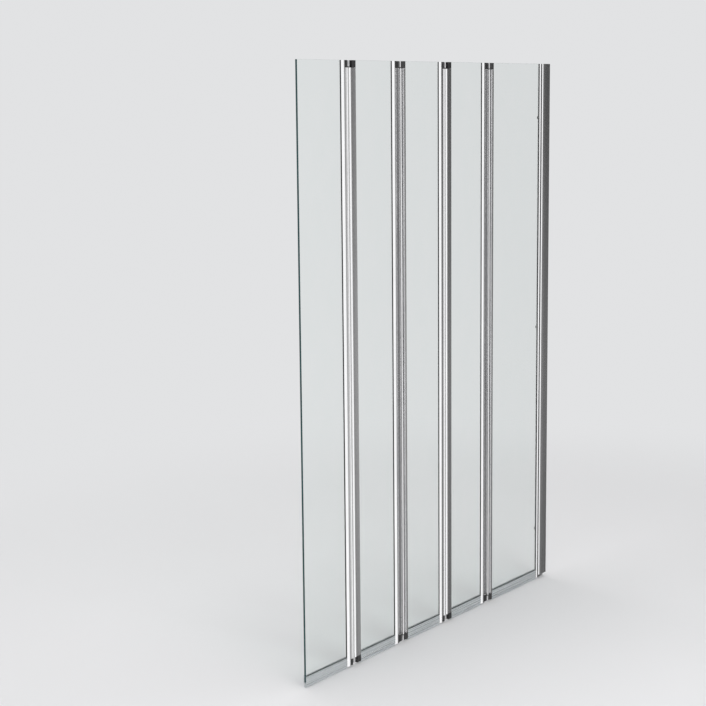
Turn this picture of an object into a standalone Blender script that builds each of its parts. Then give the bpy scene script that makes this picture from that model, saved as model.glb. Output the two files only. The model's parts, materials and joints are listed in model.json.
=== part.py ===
"""A folding bath screen: one fixed panel at the wall and four that fold up against it.

X runs along the screen and the wall is at X = 0. The screen reaches out along -X. Y = 0 is the middle of
the glass: -Y is the room side and +Y the bath side. The origin is on the back of the wall channel, half way
up. Heights in the functions below are measured from the rim of the bath, and one empty at the rim carries
everything. All sizes are in metres. Hinges and panels are numbered from the free edge towards the wall.
"""

import math

import bmesh
import bpy
from mathutils import Matrix

# The screen as a whole
SCREEN_HEIGHT = 1.400
FREE_PANEL_PITCH = 0.186
FOLD_PANEL_PITCH = 0.192
FIXED_PANEL_PITCH = 0.288
HINGES = 4
GLASS_THICKNESS = 0.005
GLASS_ARRIS = 0.0006
GLASS_FOOT = 0.012
PROFILE_FOOT = 0.004

# Clearances
FIT_GAP = 0.0003
PIVOT_CLEARANCE = 0.00015
CUT_OVERRUN = 0.004
UNION_OVERLAP = 0.0005

# What every glazing profile shares
PROFILE_WALL = 0.0014
MOUTH_GAP = 0.0004
WEB_THICKNESS = 0.0022
RIB_RISE = 0.00175
EDGE_RADIUS = 0.0008
GASKET_BASE = 0.0005
GASKET_ARM = 0.00075

# Hinge rod and the knuckle round it
ROD_RADIUS = 0.00225
ROD_ARRIS = 0.0004
KNUCKLE_WALL = 0.00085
KNUCKLE_NECK_HALF = 0.0022

# Long profile, left of the rod: distances from the rod
LONG_REACH = 0.034
LONG_GROOVE = 0.012
LONG_RIB_START = 0.0175
COVER_SPACE = 0.002
LONG_PORT_SPACE = 0.004
NOTCH_CUT_IN = 0.0002

# Short profile, right of the rod: distances from the rod
SHORT_COVER_REACH = 0.008
SHORT_RIB_END = 0.002
SHORT_CHANNEL_START = 0.011
SHORT_REACH = 0.018
SHORT_LIP = 0.001

# Screw ports in the profiles, and the spigots of the nylon pieces that fill them
PORT_RADIUS = 0.0025
PORT_BORE = 0.0014
PORT_DROP_SHARE = 0.8
SPIGOT_LENGTH = 0.009

# Nylon pivot blocks and end plugs
BLOCK_HEIGHT = 0.016
EYE_THICKNESS = 0.002
EYE_WALL = 0.0012
EYE_ARM_DROP = 0.0003
BLOCK_HEEL_WIDTH = 0.0024
BLOCK_INSET = 0.00025
BLOCK_TIP = 0.0037
BLOCK_FLANK_START = 0.0131
PLUG_GAP = 0.0006

# Wall channel and the adjusting jamb in it
CHANNEL_DEPTH = 0.037
CHANNEL_HALF = 0.010
CHANNEL_WALL = 0.002
CHANNEL_LIP_RADIUS = 0.005
CHANNEL_MOUTH_SHARE = 0.38
CHANNEL_FOOT = 0.012
JAMB_REACH = 0.043
JAMB_GLASS_DEPTH = 0.009
JAMB_LENGTH = 0.030
JAMB_FLANGE_THICKNESS = 0.002

# Fixings of the wall channel
WALL_HOLE_SHARES = (0.08, 0.36, 0.64, 0.92)
WALL_HOLE_RADIUS = 0.0025
LOCK_SCREW_SHARES = (0.10, 0.50, 0.90)
LOCK_SHANK_RADIUS = 0.0015
LOCK_HEAD_RADIUS = 0.0034
LOCK_HEAD_HEIGHT = 0.0018
LOCK_HEAD_ARRIS = 0.0005
CAP_SPACE = 0.0006
CAP_WALL = 0.0008
CAP_EDGE_RADIUS = 0.0012

# Bottom seal under each glass
SEAL_TOP = 0.028
SEAL_WALL = 0.0010
SEAL_FLOOR = 0.0012
SEAL_FIN_THICKNESS = 0.0008
SEAL_BULB_RADIUS = 0.0032
SEAL_BULB_WALL = 0.0009

# Counts of straight steps in round shapes, angles in degrees, and the weld as a share of the fit gap
ARC_STEPS = 6
CORNER_STEPS = 3
ROUND_STEPS = 28
BORE_STEPS = 20
SMOOTH_ANGLE = 32
SHARP_ANGLE = 60
EYE_LEAVING_ANGLE = 120
WELD_SHARE = 0.01

ALUMINIUM = ((0.80, 0.80, 0.82, 1.0), 0.22, 1.0)
STEEL = ((0.74, 0.74, 0.75, 1.0), 0.15, 1.0)
GLASS = ((0.86, 0.94, 0.92, 1.0), 0.03, 0.0)
NYLON = ((0.015, 0.015, 0.017, 1.0), 0.45, 0.0)
CLEAR_VINYL = ((0.80, 0.83, 0.84, 1.0), 0.25, 0.0)
GASKET_RUBBER = ((0.06, 0.06, 0.065, 1.0), 0.60, 0.0)

GLASS_HALF = GLASS_THICKNESS / 2
MOUTH_HALF = GLASS_HALF + MOUTH_GAP
CAVITY_HALF = GLASS_HALF + FIT_GAP + GASKET_ARM + FIT_GAP
PROFILE_HALF = CAVITY_HALF + PROFILE_WALL
WEB_FACE = PROFILE_HALF - WEB_THICKNESS
GASKET_SEAT = FIT_GAP + GASKET_BASE + FIT_GAP
PIVOT_BORE = ROD_RADIUS + PIVOT_CLEARANCE
KNUCKLE_RADIUS = PIVOT_BORE + KNUCKLE_WALL
ROD_OFFSET = PROFILE_HALF - KNUCKLE_RADIUS
EYE_RADIUS = PIVOT_BORE + EYE_WALL
PLUG_START = EYE_RADIUS + PLUG_GAP
LONG_CHANNEL_END = LONG_REACH - LONG_GROOVE
LONG_RIB_END = SHORT_COVER_REACH + COVER_SPACE
PORT_SHIFT = WEB_FACE - PORT_DROP_SHARE * PORT_RADIUS
LONG_PORT_PLACE = LONG_CHANNEL_END - LONG_PORT_SPACE
SHORT_PORT_PLACE = (KNUCKLE_RADIUS + SHORT_CHANNEL_START) / 2
NYLON_FACE = PROFILE_HALF - BLOCK_INSET
BLOCK_TOP_Z = SCREEN_HEIGHT - BLOCK_HEIGHT
BLOCK_BOTTOM_Z = PROFILE_FOOT + BLOCK_HEIGHT
SHORT_TOP_Z = BLOCK_TOP_Z - FIT_GAP
SHORT_BOTTOM_Z = BLOCK_BOTTOM_Z + FIT_GAP
CHANNEL_INSIDE_HALF = CHANNEL_HALF - CHANNEL_WALL
CHANNEL_MOUTH_HALF = PROFILE_HALF + CHANNEL_MOUTH_SHARE * (CHANNEL_INSIDE_HALF - PROFILE_HALF)
JAMB_BACK = JAMB_REACH - JAMB_LENGTH
CAP_RADIUS = LOCK_HEAD_RADIUS + CAP_SPACE + CAP_WALL
CAP_HEIGHT = FIT_GAP + LOCK_HEAD_HEIGHT + FIT_GAP + CAP_WALL
LOCK_SCREW_PLACE = CHANNEL_DEPTH - CHANNEL_LIP_RADIUS - CAP_RADIUS
SEAL_FIN_REACH = NYLON_FACE
RIM_TO_ORIGIN = SCREEN_HEIGHT / 2


def clear_scene():
    for obj in list(bpy.data.objects):
        bpy.data.objects.remove(obj, do_unlink=True)


def new_collection(name):
    collection = bpy.data.collections.new(name)
    bpy.context.scene.collection.children.link(collection)
    return collection


def new_material(name, colour, roughness, metallic):
    material = bpy.data.materials.new(name)
    material.use_nodes = True
    shader = material.node_tree.nodes["Principled BSDF"]
    shader.inputs["Base Color"].default_value = colour
    shader.inputs["Roughness"].default_value = roughness
    shader.inputs["Metallic"].default_value = metallic
    return material


def hinge_x(number):
    """Where the rod of a hinge stands, hinge 1 being the farthest from the wall."""
    return -(FIXED_PANEL_PITCH + (HINGES - number) * FOLD_PANEL_PITCH)


def hinge_side(number):
    """+1 where the hinge folds towards the room, -1 where it folds towards the bath."""
    return 1 if (HINGES - number) % 2 == 0 else -1


def arc(centre, radius, start, end, steps=ARC_STEPS):
    """Points round a centre from one angle to another, both in degrees."""
    turns = [math.radians(start + (end - start) * i / steps) for i in range(steps + 1)]
    return [(centre[0] + radius * math.cos(t), centre[1] + radius * math.sin(t)) for t in turns]


def circle(centre, radius, steps=ROUND_STEPS):
    return arc(centre, radius, 0, 360, steps)[:-1]


def bow(start, end, rise, steps=ARC_STEPS):
    """Points of a shallow round rib that stands up from a level line between two points."""
    half = (end[0] - start[0]) / 2
    radius = (half * half + rise * rise) / (2 * rise)
    centre = (start[0] + half, start[1] + rise - radius)
    spread = math.degrees(math.atan2(half, radius - rise))
    return arc(centre, radius, 90 + spread, 90 - spread, steps)


def soft_corner(before, corner, after, radius):
    """Points of a round corner that replaces a sharp one."""
    to_before = (before[0] - corner[0], before[1] - corner[1])
    to_after = (after[0] - corner[0], after[1] - corner[1])
    first = math.atan2(to_before[1], to_before[0])
    second = math.atan2(to_after[1], to_after[0])
    half_angle = math.remainder(second - first, 2 * math.pi) / 2
    middle = first + half_angle
    away = radius / math.sin(abs(half_angle))
    centre = (corner[0] + away * math.cos(middle), corner[1] + away * math.sin(middle))
    sweep = math.degrees(math.pi - 2 * abs(half_angle)) / 2
    sweep = math.copysign(sweep, half_angle)
    outward = math.degrees(middle) + 180
    return arc(centre, radius, outward + sweep, outward - sweep, CORNER_STEPS)


def mirrored(points, side):
    """The outline as drawn, or turned over for a hinge that folds the other way."""
    return points if side > 0 else [(x, -y) for x, y in reversed(points)]


def mesh_from_curve(curve, name):
    """The mesh of a filled 2D curve, with its caps welded to its sides."""
    guide = bpy.data.objects.new(name, curve)
    bpy.context.scene.collection.objects.link(guide)
    graph = bpy.context.evaluated_depsgraph_get()
    mesh = bpy.data.meshes.new_from_object(guide.evaluated_get(graph))
    bpy.data.objects.remove(guide, do_unlink=True)
    bpy.data.curves.remove(curve)
    shape = bmesh.new()
    shape.from_mesh(mesh)
    bmesh.ops.remove_doubles(shape, verts=shape.verts, dist=WELD_SHARE * FIT_GAP)
    bmesh.ops.recalc_face_normals(shape, faces=shape.faces)
    shape.to_mesh(mesh)
    shape.free()
    mesh.name = name
    return mesh


def extruded(name, outlines, length):
    """A mesh of the outlines, drawn in XY and drawn out along +Z from zero. Inner outlines are holes."""
    curve = bpy.data.curves.new(name, "CURVE")
    curve.dimensions = "2D"
    curve.fill_mode = "BOTH"
    curve.extrude = length / 2
    for points in outlines:
        spline = curve.splines.new("POLY")
        spline.points.add(len(points) - 1)
        for point, (x, y) in zip(spline.points, points):
            point.co = (x, y, 0, 1)
        spline.use_cyclic_u = True
    mesh = mesh_from_curve(curve, name)
    mesh.transform(Matrix.Translation((0, 0, length / 2)))
    return mesh


def box_mesh(name, low, high):
    shape = bmesh.new()
    bmesh.ops.create_cube(shape, size=1.0)
    size = Matrix.Diagonal([high[i] - low[i] for i in range(3)] + [1])
    middle = Matrix.Translation([(high[i] + low[i]) / 2 for i in range(3)])
    bmesh.ops.transform(shape, matrix=middle @ size, verts=shape.verts)
    mesh = bpy.data.meshes.new(name)
    shape.to_mesh(mesh)
    shape.free()
    return mesh


def cylinder_mesh(name, radius, length, steps=BORE_STEPS):
    """A round bar along +Z from zero."""
    shape = bmesh.new()
    bmesh.ops.create_cone(
        shape, cap_ends=True, segments=steps, radius1=radius, radius2=radius, depth=length
    )
    bmesh.ops.translate(shape, vec=(0, 0, length / 2), verts=shape.verts)
    mesh = bpy.data.meshes.new(name)
    shape.to_mesh(mesh)
    shape.free()
    return mesh


def shade(mesh):
    mesh.shade_smooth()
    mesh.set_sharp_from_angle(angle=math.radians(SMOOTH_ANGLE))


class Assembly:
    """Places pieces in their collection, on the empty that carries them."""

    def __init__(self):
        self.parts = new_collection("folding_bath_screen")
        self.cutters = new_collection("cutters")
        self.rim = bpy.data.objects.new("rim_of_bath", None)
        self.parts.objects.link(self.rim)
        self.rim.location = (0, 0, -RIM_TO_ORIGIN)

    def carrier(self, name, place, parent=None):
        empty = bpy.data.objects.new(name, None)
        self.parts.objects.link(empty)
        self.put(empty, place, parent)
        return empty

    def put(self, obj, place, parent):
        """Sets an object's place from the rim. No carrier is turned, so places only add up."""
        obj.parent = parent or self.rim
        start = place_from_rim(parent)
        obj.location = [place[i] - start[i] for i in range(3)]

    def piece(self, name, mesh, place, parent, material):
        obj = bpy.data.objects.new(name, mesh)
        self.parts.objects.link(obj)
        self.put(obj, place, parent)
        if not mesh.materials:
            mesh.materials.append(material)
            shade(mesh)
        return obj

    def helper(self, name, mesh, place, parent):
        obj = bpy.data.objects.new(name, mesh)
        self.cutters.objects.link(obj)
        self.put(obj, place, parent)
        obj.hide_render = True
        obj.display_type = "WIRE"
        return obj

    def combine(self, obj, helper, operation):
        modifier = obj.modifiers.new(operation.title(), "BOOLEAN")
        modifier.operation = operation
        modifier.solver = "EXACT"
        modifier.object = helper


def place_from_rim(carrier):
    place = [0, 0, 0]
    while carrier is not None and carrier.parent is not None:
        place = [place[i] + carrier.location[i] for i in range(3)]
        carrier = carrier.parent
    return place


def nose_side(nose, up):
    """Outer face of a round nose on one side, from its mouth to its flat flank."""
    mouth = math.degrees(math.asin(MOUTH_HALF / PROFILE_HALF))
    return arc(nose, PROFILE_HALF, 180 - up * mouth, 180 - up * 90)


def nose_inside(nose, up):
    """Inner face of a round nose on one side, from its cavity to its mouth."""
    mouth = math.degrees(math.asin(MOUTH_HALF / CAVITY_HALF))
    return arc(nose, CAVITY_HALF, 180 - up * 90, 180 - up * mouth)


def port_below(centre, start_side):
    """The outside of a screw port that hangs from the web, from one side round to the other."""
    rise = math.degrees(math.asin((WEB_FACE - centre[1]) / PORT_RADIUS))
    if start_side > 0:
        return arc(centre, PORT_RADIUS, rise, -180 - rise, 2 * ARC_STEPS)
    return arc(centre, PORT_RADIUS, 180 - rise, 360 + rise, 2 * ARC_STEPS)


def long_port():
    return (-LONG_PORT_PLACE, PORT_SHIFT)


def short_port():
    return (SHORT_PORT_PLACE, PORT_SHIFT)


def rod_centre():
    return (0, -ROD_OFFSET)


def long_profile_outlines(side):
    """Glazing channel with a round nose, and a web with a rib that reaches towards the rod."""
    nose = (-LONG_REACH + PROFILE_HALF, 0)
    cavity_end = -LONG_CHANNEL_END - PROFILE_WALL
    corner = (-LONG_CHANNEL_END, -PROFILE_HALF)
    outline = nose_side(nose, 1)
    outline += bow((-LONG_RIB_START, PROFILE_HALF), (-LONG_RIB_END, PROFILE_HALF), RIB_RISE)
    outline.append((-LONG_RIB_END, WEB_FACE))
    outline += port_below(long_port(), 1)
    outline.append((-LONG_CHANNEL_END, WEB_FACE))
    outline += soft_corner(outline[-1], corner, (nose[0], -PROFILE_HALF), EDGE_RADIUS)
    outline += reversed(nose_side(nose, -1))
    outline += reversed(nose_inside(nose, -1))
    outline += [(cavity_end, -CAVITY_HALF), (cavity_end, CAVITY_HALF)]
    outline += nose_inside(nose, 1)
    bore = circle(long_port(), PORT_BORE, BORE_STEPS)
    return [mirrored(outline, side), mirrored(bore, side)]


def short_profile_outlines(side):
    """Glazing channel, a web that covers the rod on the closed side, and the knuckle round the rod."""
    right = SHORT_REACH
    start = SHORT_CHANNEL_START
    inner_lip = right - SHORT_LIP
    floor = start + PROFILE_WALL
    neck = math.degrees(math.acos(KNUCKLE_NECK_HALF / KNUCKLE_RADIUS))
    outline = [(right, MOUTH_HALF)]
    outline += soft_corner(outline[0], (right, PROFILE_HALF), (start, PROFILE_HALF), EDGE_RADIUS)
    cover = bow((-SHORT_COVER_REACH, PROFILE_HALF), (SHORT_RIB_END, PROFILE_HALF), RIB_RISE)
    outline += reversed(cover)
    outline += [(-SHORT_COVER_REACH, WEB_FACE), (-KNUCKLE_NECK_HALF, WEB_FACE)]
    outline += arc(rod_centre(), KNUCKLE_RADIUS, 180 - neck, 360 + neck, 3 * ARC_STEPS)
    outline.append((KNUCKLE_NECK_HALF, WEB_FACE))
    outline += port_below(short_port(), -1)
    outline.append((start, WEB_FACE))
    for corner, after in (
        ((start, -PROFILE_HALF), (right, -PROFILE_HALF)),
        ((right, -PROFILE_HALF), (right, -MOUTH_HALF)),
    ):
        outline += soft_corner(outline[-1], corner, after, EDGE_RADIUS)
    outline += [(right, -MOUTH_HALF), (inner_lip, -MOUTH_HALF), (inner_lip, -CAVITY_HALF)]
    outline += [(floor, -CAVITY_HALF), (floor, CAVITY_HALF)]
    outline += [(inner_lip, CAVITY_HALF), (inner_lip, MOUTH_HALF)]
    rod_bore = circle(rod_centre(), PIVOT_BORE)
    screw_bore = circle(short_port(), PORT_BORE, BORE_STEPS)
    return [mirrored(points, side) for points in (outline, rod_bore, screw_bore)]


def gasket_outline(edge, depth):
    """A U that wraps the glass edge at X = edge. Depth is how far its arms run along the glass."""
    toward = math.copysign(1, depth)
    inner = GLASS_HALF + FIT_GAP
    outer = CAVITY_HALF - FIT_GAP
    seat = edge - toward * FIT_GAP
    back = seat - toward * GASKET_BASE
    end = seat + depth
    points = [(back, -outer), (end, -outer), (end, -inner), (seat, -inner)]
    points += [(seat, inner), (end, inner), (end, outer), (back, outer)]
    return points


def long_glass_edge():
    """How far left of the rod the glass ends in the long profile."""
    return -LONG_CHANNEL_END - PROFILE_WALL - GASKET_SEAT


def short_glass_edge():
    """How far right of the rod the glass ends in the short profile."""
    return SHORT_CHANNEL_START + PROFILE_WALL + GASKET_SEAT


def block_outline():
    """The pivot block's body. Its flanks draw back so that the rod stands free beside it."""
    left = -LONG_CHANNEL_END - NOTCH_CUT_IN + FIT_GAP
    heel = left + BLOCK_HEEL_WIDTH
    face = NYLON_FACE
    points = [(left, -face), (heel, -face), (heel, -ROD_OFFSET)]
    points += [(-BLOCK_TIP, -ROD_OFFSET), (-BLOCK_FLANK_START, face), (left, face)]
    return points


def eye_outlines(side):
    """The thin foot of the pivot block, with the eye that the rod turns in."""
    left = -LONG_CHANNEL_END - NOTCH_CUT_IN + FIT_GAP + BLOCK_INSET
    heel = left + BLOCK_HEEL_WIDTH - 2 * BLOCK_INSET
    face = NYLON_FACE - BLOCK_INSET
    arm = math.degrees(math.asin(EYE_ARM_DROP / EYE_RADIUS))
    outline = [(left, -face), (heel, -face), (heel, -ROD_OFFSET - EYE_ARM_DROP)]
    outline += arc(rod_centre(), EYE_RADIUS, 180 + arm, 360 + EYE_LEAVING_ANGLE, 2 * ARC_STEPS)
    outline += [(-BLOCK_FLANK_START - BLOCK_INSET, face), (left, face)]
    return [mirrored(outline, side), mirrored(circle(rod_centre(), PIVOT_BORE), side)]


def plug_outline():
    """The end plug, which fills the end of the short profile and takes the glass in a slot."""
    right = SHORT_REACH
    slot = GLASS_HALF + FIT_GAP
    face = NYLON_FACE
    slot_end = short_glass_edge() - FIT_GAP
    points = [(PLUG_START, face), (PLUG_START, -ROD_OFFSET), (SHORT_CHANNEL_START, -face)]
    points += [(right, -face), (right, -slot), (slot_end, -slot)]
    points += [(slot_end, slot), (right, slot), (right, face)]
    return points


def channel_outline():
    """The wall channel: a back against the wall and two flanks whose lips turn in at the mouth."""
    depth = CHANNEL_DEPTH
    corner_x = -depth + CHANNEL_LIP_RADIUS
    corner_y = CHANNEL_HALF - CHANNEL_LIP_RADIUS
    inner_radius = CHANNEL_LIP_RADIUS - CHANNEL_WALL
    lip = math.degrees(math.asin((CHANNEL_MOUTH_HALF - corner_y) / CHANNEL_LIP_RADIUS))
    inner_lip = math.degrees(math.asin((CHANNEL_MOUTH_HALF - corner_y) / inner_radius))
    half = arc((corner_x, corner_y), CHANNEL_LIP_RADIUS, 180 - lip, 90)
    half += [(0, CHANNEL_HALF)]
    inside = [(-CHANNEL_WALL, CHANNEL_INSIDE_HALF)]
    inside += arc((corner_x, corner_y), inner_radius, 90, 180 - inner_lip)
    low_half = [(x, -y) for x, y in reversed(half)]
    low_inside = [(x, -y) for x, y in reversed(inside)]
    return half + low_half + low_inside + inside


def jamb_outline():
    """The adjusting jamb: a round-nosed glazing channel whose flanged legs slide in the wall channel."""
    nose = (-JAMB_REACH + PROFILE_HALF, 0)
    floor = -JAMB_REACH + JAMB_GLASS_DEPTH
    floor_back = floor + PROFILE_WALL
    flange_start = -JAMB_BACK - JAMB_FLANGE_THICKNESS
    flange_half = CHANNEL_INSIDE_HALF - FIT_GAP
    half = nose_side(nose, 1)
    half += [(flange_start, PROFILE_HALF), (flange_start, flange_half), (-JAMB_BACK, flange_half)]
    half += [(-JAMB_BACK, CAVITY_HALF), (floor_back, CAVITY_HALF)]
    low_half = [(x, -y) for x, y in reversed(half)]
    inside = [(floor, CAVITY_HALF)] + nose_inside(nose, 1)
    low_inside = [(x, -y) for x, y in reversed(inside)]
    return half + low_half + low_inside + inside


def seal_outlines():
    """The bottom seal across its length: a grip on the glass, two short fins and a hollow bulb."""
    inner = GLASS_HALF + FIT_GAP
    outer = inner + SEAL_WALL
    seat = GLASS_FOOT - FIT_GAP
    base = seat - SEAL_FLOOR
    bulb = (0, SEAL_BULB_RADIUS)
    shoulder = math.degrees(math.acos(SEAL_WALL / SEAL_BULB_RADIUS))
    fin_tip = base - (SEAL_FIN_REACH - outer)
    half = [(inner, SEAL_TOP), (outer, SEAL_TOP), (outer, base)]
    half += [(SEAL_FIN_REACH, fin_tip), (SEAL_FIN_REACH - SEAL_FIN_THICKNESS, fin_tip)]
    half += [(outer - SEAL_FIN_THICKNESS, base - SEAL_FIN_THICKNESS)]
    half += [(SEAL_WALL, base - SEAL_FIN_THICKNESS)]
    half += arc(bulb, SEAL_BULB_RADIUS, shoulder, -90, 2 * ARC_STEPS)
    other = [(-x, z) for x, z in reversed(half[:-1])]
    outline = half + other + [(-inner, seat), (inner, seat)]
    hollow = circle(bulb, SEAL_BULB_RADIUS - SEAL_BULB_WALL, BORE_STEPS)
    return [outline, hollow]


def add_glass(assembly, number, left, right, carrier, material):
    low = (left, -GLASS_HALF, GLASS_FOOT)
    high = (right, GLASS_HALF, SCREEN_HEIGHT)
    start = place_from_rim(carrier)
    mesh = box_mesh(
        f"glass_panel_{number}",
        [low[i] - start[i] for i in range(3)],
        [high[i] - start[i] for i in range(3)],
    )
    glass = assembly.piece(mesh.name, mesh, start, carrier, material)
    bevel = glass.modifiers.new("Arris", "BEVEL")
    bevel.width = GLASS_ARRIS
    bevel.segments = 1


def add_seal(assembly, number, left, right, carrier, material):
    name = f"bottom_seal_{number}"
    mesh = extruded(name, seal_outlines(), right - left)
    seal = assembly.piece(name, mesh, (left, 0, 0), carrier, material)
    seal.rotation_euler = (math.pi / 2, 0, math.pi / 2)


def add_rod(assembly, number, carrier, material):
    name = f"hinge_{number}_rod"
    x = hinge_x(number)
    y = -ROD_OFFSET * hinge_side(number)
    length = SCREEN_HEIGHT - PROFILE_FOOT
    mesh = cylinder_mesh(name, ROD_RADIUS, length, ROUND_STEPS)
    rod = assembly.piece(name, mesh, (x, y, PROFILE_FOOT), carrier, material)
    bevel = rod.modifiers.new("Arris", "BEVEL")
    bevel.width = ROD_ARRIS
    bevel.segments = 1
    bevel.limit_method = "ANGLE"
    bevel.angle_limit = math.radians(SHARP_ANGLE)


def add_long_profile(assembly, number, carrier, material):
    """The profile on the right edge of panel `number`, its web cut back at both ends for the blocks."""
    name = f"hinge_{number}_long_profile"
    x = hinge_x(number)
    length = SCREEN_HEIGHT - PROFILE_FOOT
    outlines = long_profile_outlines(hinge_side(number))
    profile = assembly.piece(
        name, extruded(name, outlines, length), (x, 0, PROFILE_FOOT), carrier, material
    )
    notch = BLOCK_HEIGHT + FIT_GAP
    left = -LONG_CHANNEL_END - NOTCH_CUT_IN
    reach = PROFILE_HALF + RIB_RISE + CUT_OVERRUN
    right = -LONG_RIB_END + CUT_OVERRUN
    for end, bottom in (("top", SCREEN_HEIGHT - notch), ("bottom", PROFILE_FOOT - CUT_OVERRUN)):
        size = box_mesh(
            f"{name}_{end}_notch", (left, -reach, 0), (right, reach, notch + CUT_OVERRUN)
        )
        cutter = assembly.helper(size.name, size, (x, 0, bottom), carrier)
        assembly.combine(profile, cutter, "DIFFERENCE")


def add_short_profile(assembly, number, carrier, material):
    """The profile on the left edge of the next panel, which holds the rod."""
    name = f"hinge_{number}_short_profile"
    length = SHORT_TOP_Z - SHORT_BOTTOM_Z
    mesh = extruded(name, short_profile_outlines(hinge_side(number)), length)
    assembly.piece(name, mesh, (hinge_x(number), 0, SHORT_BOTTOM_Z), carrier, material)


def add_nylon(assembly, name, place, carrier, material, body, spigot_at, up, extras=()):
    """A nylon end piece: its body, a spigot into the profile's screw port and any thin foot.

    up is +1 for a piece at the top, which stands on the profile's end, and -1 for one at the bottom.
    """
    seat = 0 if up > 0 else BLOCK_HEIGHT
    start = UNION_OVERLAP if extras else 0
    low = start if up > 0 else 0
    mesh = extruded(name, [body], BLOCK_HEIGHT - start)
    mesh.transform(Matrix.Translation((0, 0, low)))
    piece = assembly.piece(name, mesh, place, carrier, material)
    spigot = cylinder_mesh(
        f"{name}_spigot", PORT_BORE - FIT_GAP, SPIGOT_LENGTH + EYE_THICKNESS / 2, BORE_STEPS
    )
    reach = SPIGOT_LENGTH if up > 0 else EYE_THICKNESS / 2
    at = (place[0] + spigot_at[0], place[1] + spigot_at[1], place[2] + seat - reach)
    parts = [assembly.helper(spigot.name, spigot, at, carrier)]
    for outlines in extras:
        foot = extruded(f"{name}_foot", outlines, EYE_THICKNESS)
        foot_z = place[2] if up > 0 else place[2] + BLOCK_HEIGHT - EYE_THICKNESS
        parts.append(assembly.helper(foot.name, foot, (place[0], place[1], foot_z), carrier))
    for part in reversed(parts):
        assembly.combine(piece, part, "UNION")


def add_end_pieces(assembly, number, left_carrier, right_carrier, material):
    """The four nylon pieces of a hinge: a pivot block and an end plug at the top and at the bottom."""
    side = hinge_side(number)
    x = hinge_x(number)
    block = mirrored(block_outline(), side)
    plug = mirrored(plug_outline(), side)
    block_spigot = (long_port()[0], long_port()[1] * side)
    plug_spigot = (short_port()[0], short_port()[1] * side)
    for end, z, up in (("top", BLOCK_TOP_Z, 1), ("bottom", PROFILE_FOOT, -1)):
        place = (x, 0, z)
        eye = [eye_outlines(side)]
        name = f"hinge_{number}_{end}_pivot_block"
        add_nylon(assembly, name, place, left_carrier, material, block, block_spigot, up, eye)
        name = f"hinge_{number}_{end}_end_plug"
        add_nylon(assembly, name, place, right_carrier, material, plug, plug_spigot, up)


def add_gasket(assembly, name, outline, bottom, top, x, carrier, material):
    mesh = extruded(name, [outline], top - bottom)
    assembly.piece(name, mesh, (x, 0, bottom), carrier, material)


def add_hinge(assembly, number, left_carrier, right_carrier, looks):
    x = hinge_x(number)
    add_long_profile(assembly, number, left_carrier, looks["aluminium"])
    add_short_profile(assembly, number, right_carrier, looks["aluminium"])
    add_rod(assembly, number, right_carrier, looks["steel"])
    add_end_pieces(assembly, number, left_carrier, right_carrier, looks["nylon"])
    nose_run = LONG_REACH - PROFILE_HALF + long_glass_edge()
    outline = gasket_outline(long_glass_edge(), -nose_run)
    top = SCREEN_HEIGHT - FIT_GAP
    name = f"long_profile_gasket_{number}"
    add_gasket(assembly, name, outline, GLASS_FOOT, top, x, left_carrier, looks["rubber"])
    run = SHORT_REACH - SHORT_LIP - FIT_GAP - short_glass_edge()
    outline = gasket_outline(short_glass_edge(), run)
    bottom = SHORT_BOTTOM_Z + FIT_GAP
    top = SHORT_TOP_Z - FIT_GAP
    name = f"short_profile_gasket_{number}"
    add_gasket(assembly, name, outline, bottom, top, x, right_carrier, looks["rubber"])


def add_wall_channel(assembly, material):
    """The channel that is screwed to the wall, with holes for the wall screws and the locking screws."""
    name = "wall_channel"
    length = SCREEN_HEIGHT - CHANNEL_FOOT
    channel = assembly.piece(
        name, extruded(name, [channel_outline()], length), (0, 0, CHANNEL_FOOT), None, material
    )
    reach = CHANNEL_WALL + 2 * CUT_OVERRUN
    for index, share in enumerate(WALL_HOLE_SHARES, 1):
        hole = cylinder_mesh(f"wall_hole_{index}", WALL_HOLE_RADIUS, reach)
        place = (-CHANNEL_WALL - CUT_OVERRUN, 0, share * SCREEN_HEIGHT)
        cutter = assembly.helper(hole.name, hole, place, None)
        cutter.rotation_euler = (0, math.pi / 2, 0)
        assembly.combine(channel, cutter, "DIFFERENCE")
    for index, share in enumerate(LOCK_SCREW_SHARES, 1):
        bore = cylinder_mesh(f"lock_hole_{index}", LOCK_SHANK_RADIUS + FIT_GAP, reach)
        inside = CHANNEL_INSIDE_HALF - CUT_OVERRUN
        place = (-LOCK_SCREW_PLACE, inside, share * SCREEN_HEIGHT)
        cutter = assembly.helper(bore.name, bore, place, None)
        cutter.rotation_euler = (-math.pi / 2, 0, 0)
        assembly.combine(channel, cutter, "DIFFERENCE")


def turned(assembly, name, points, place, material):
    """A turned piece whose axis points to the bath side, from its profile as (radius, height) pairs."""
    mesh = bpy.data.meshes.new(name)
    edges = [(i, i + 1) for i in range(len(points) - 1)]
    mesh.from_pydata([(radius, 0, height) for radius, height in points], edges, [])
    piece = assembly.piece(name, mesh, place, None, material)
    piece.rotation_euler = (-math.pi / 2, 0, 0)
    screw = piece.modifiers.new("Turn", "SCREW")
    screw.steps = BORE_STEPS
    screw.render_steps = BORE_STEPS
    screw.use_merge_vertices = True
    screw.merge_threshold = WELD_SHARE * FIT_GAP
    return piece


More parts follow.
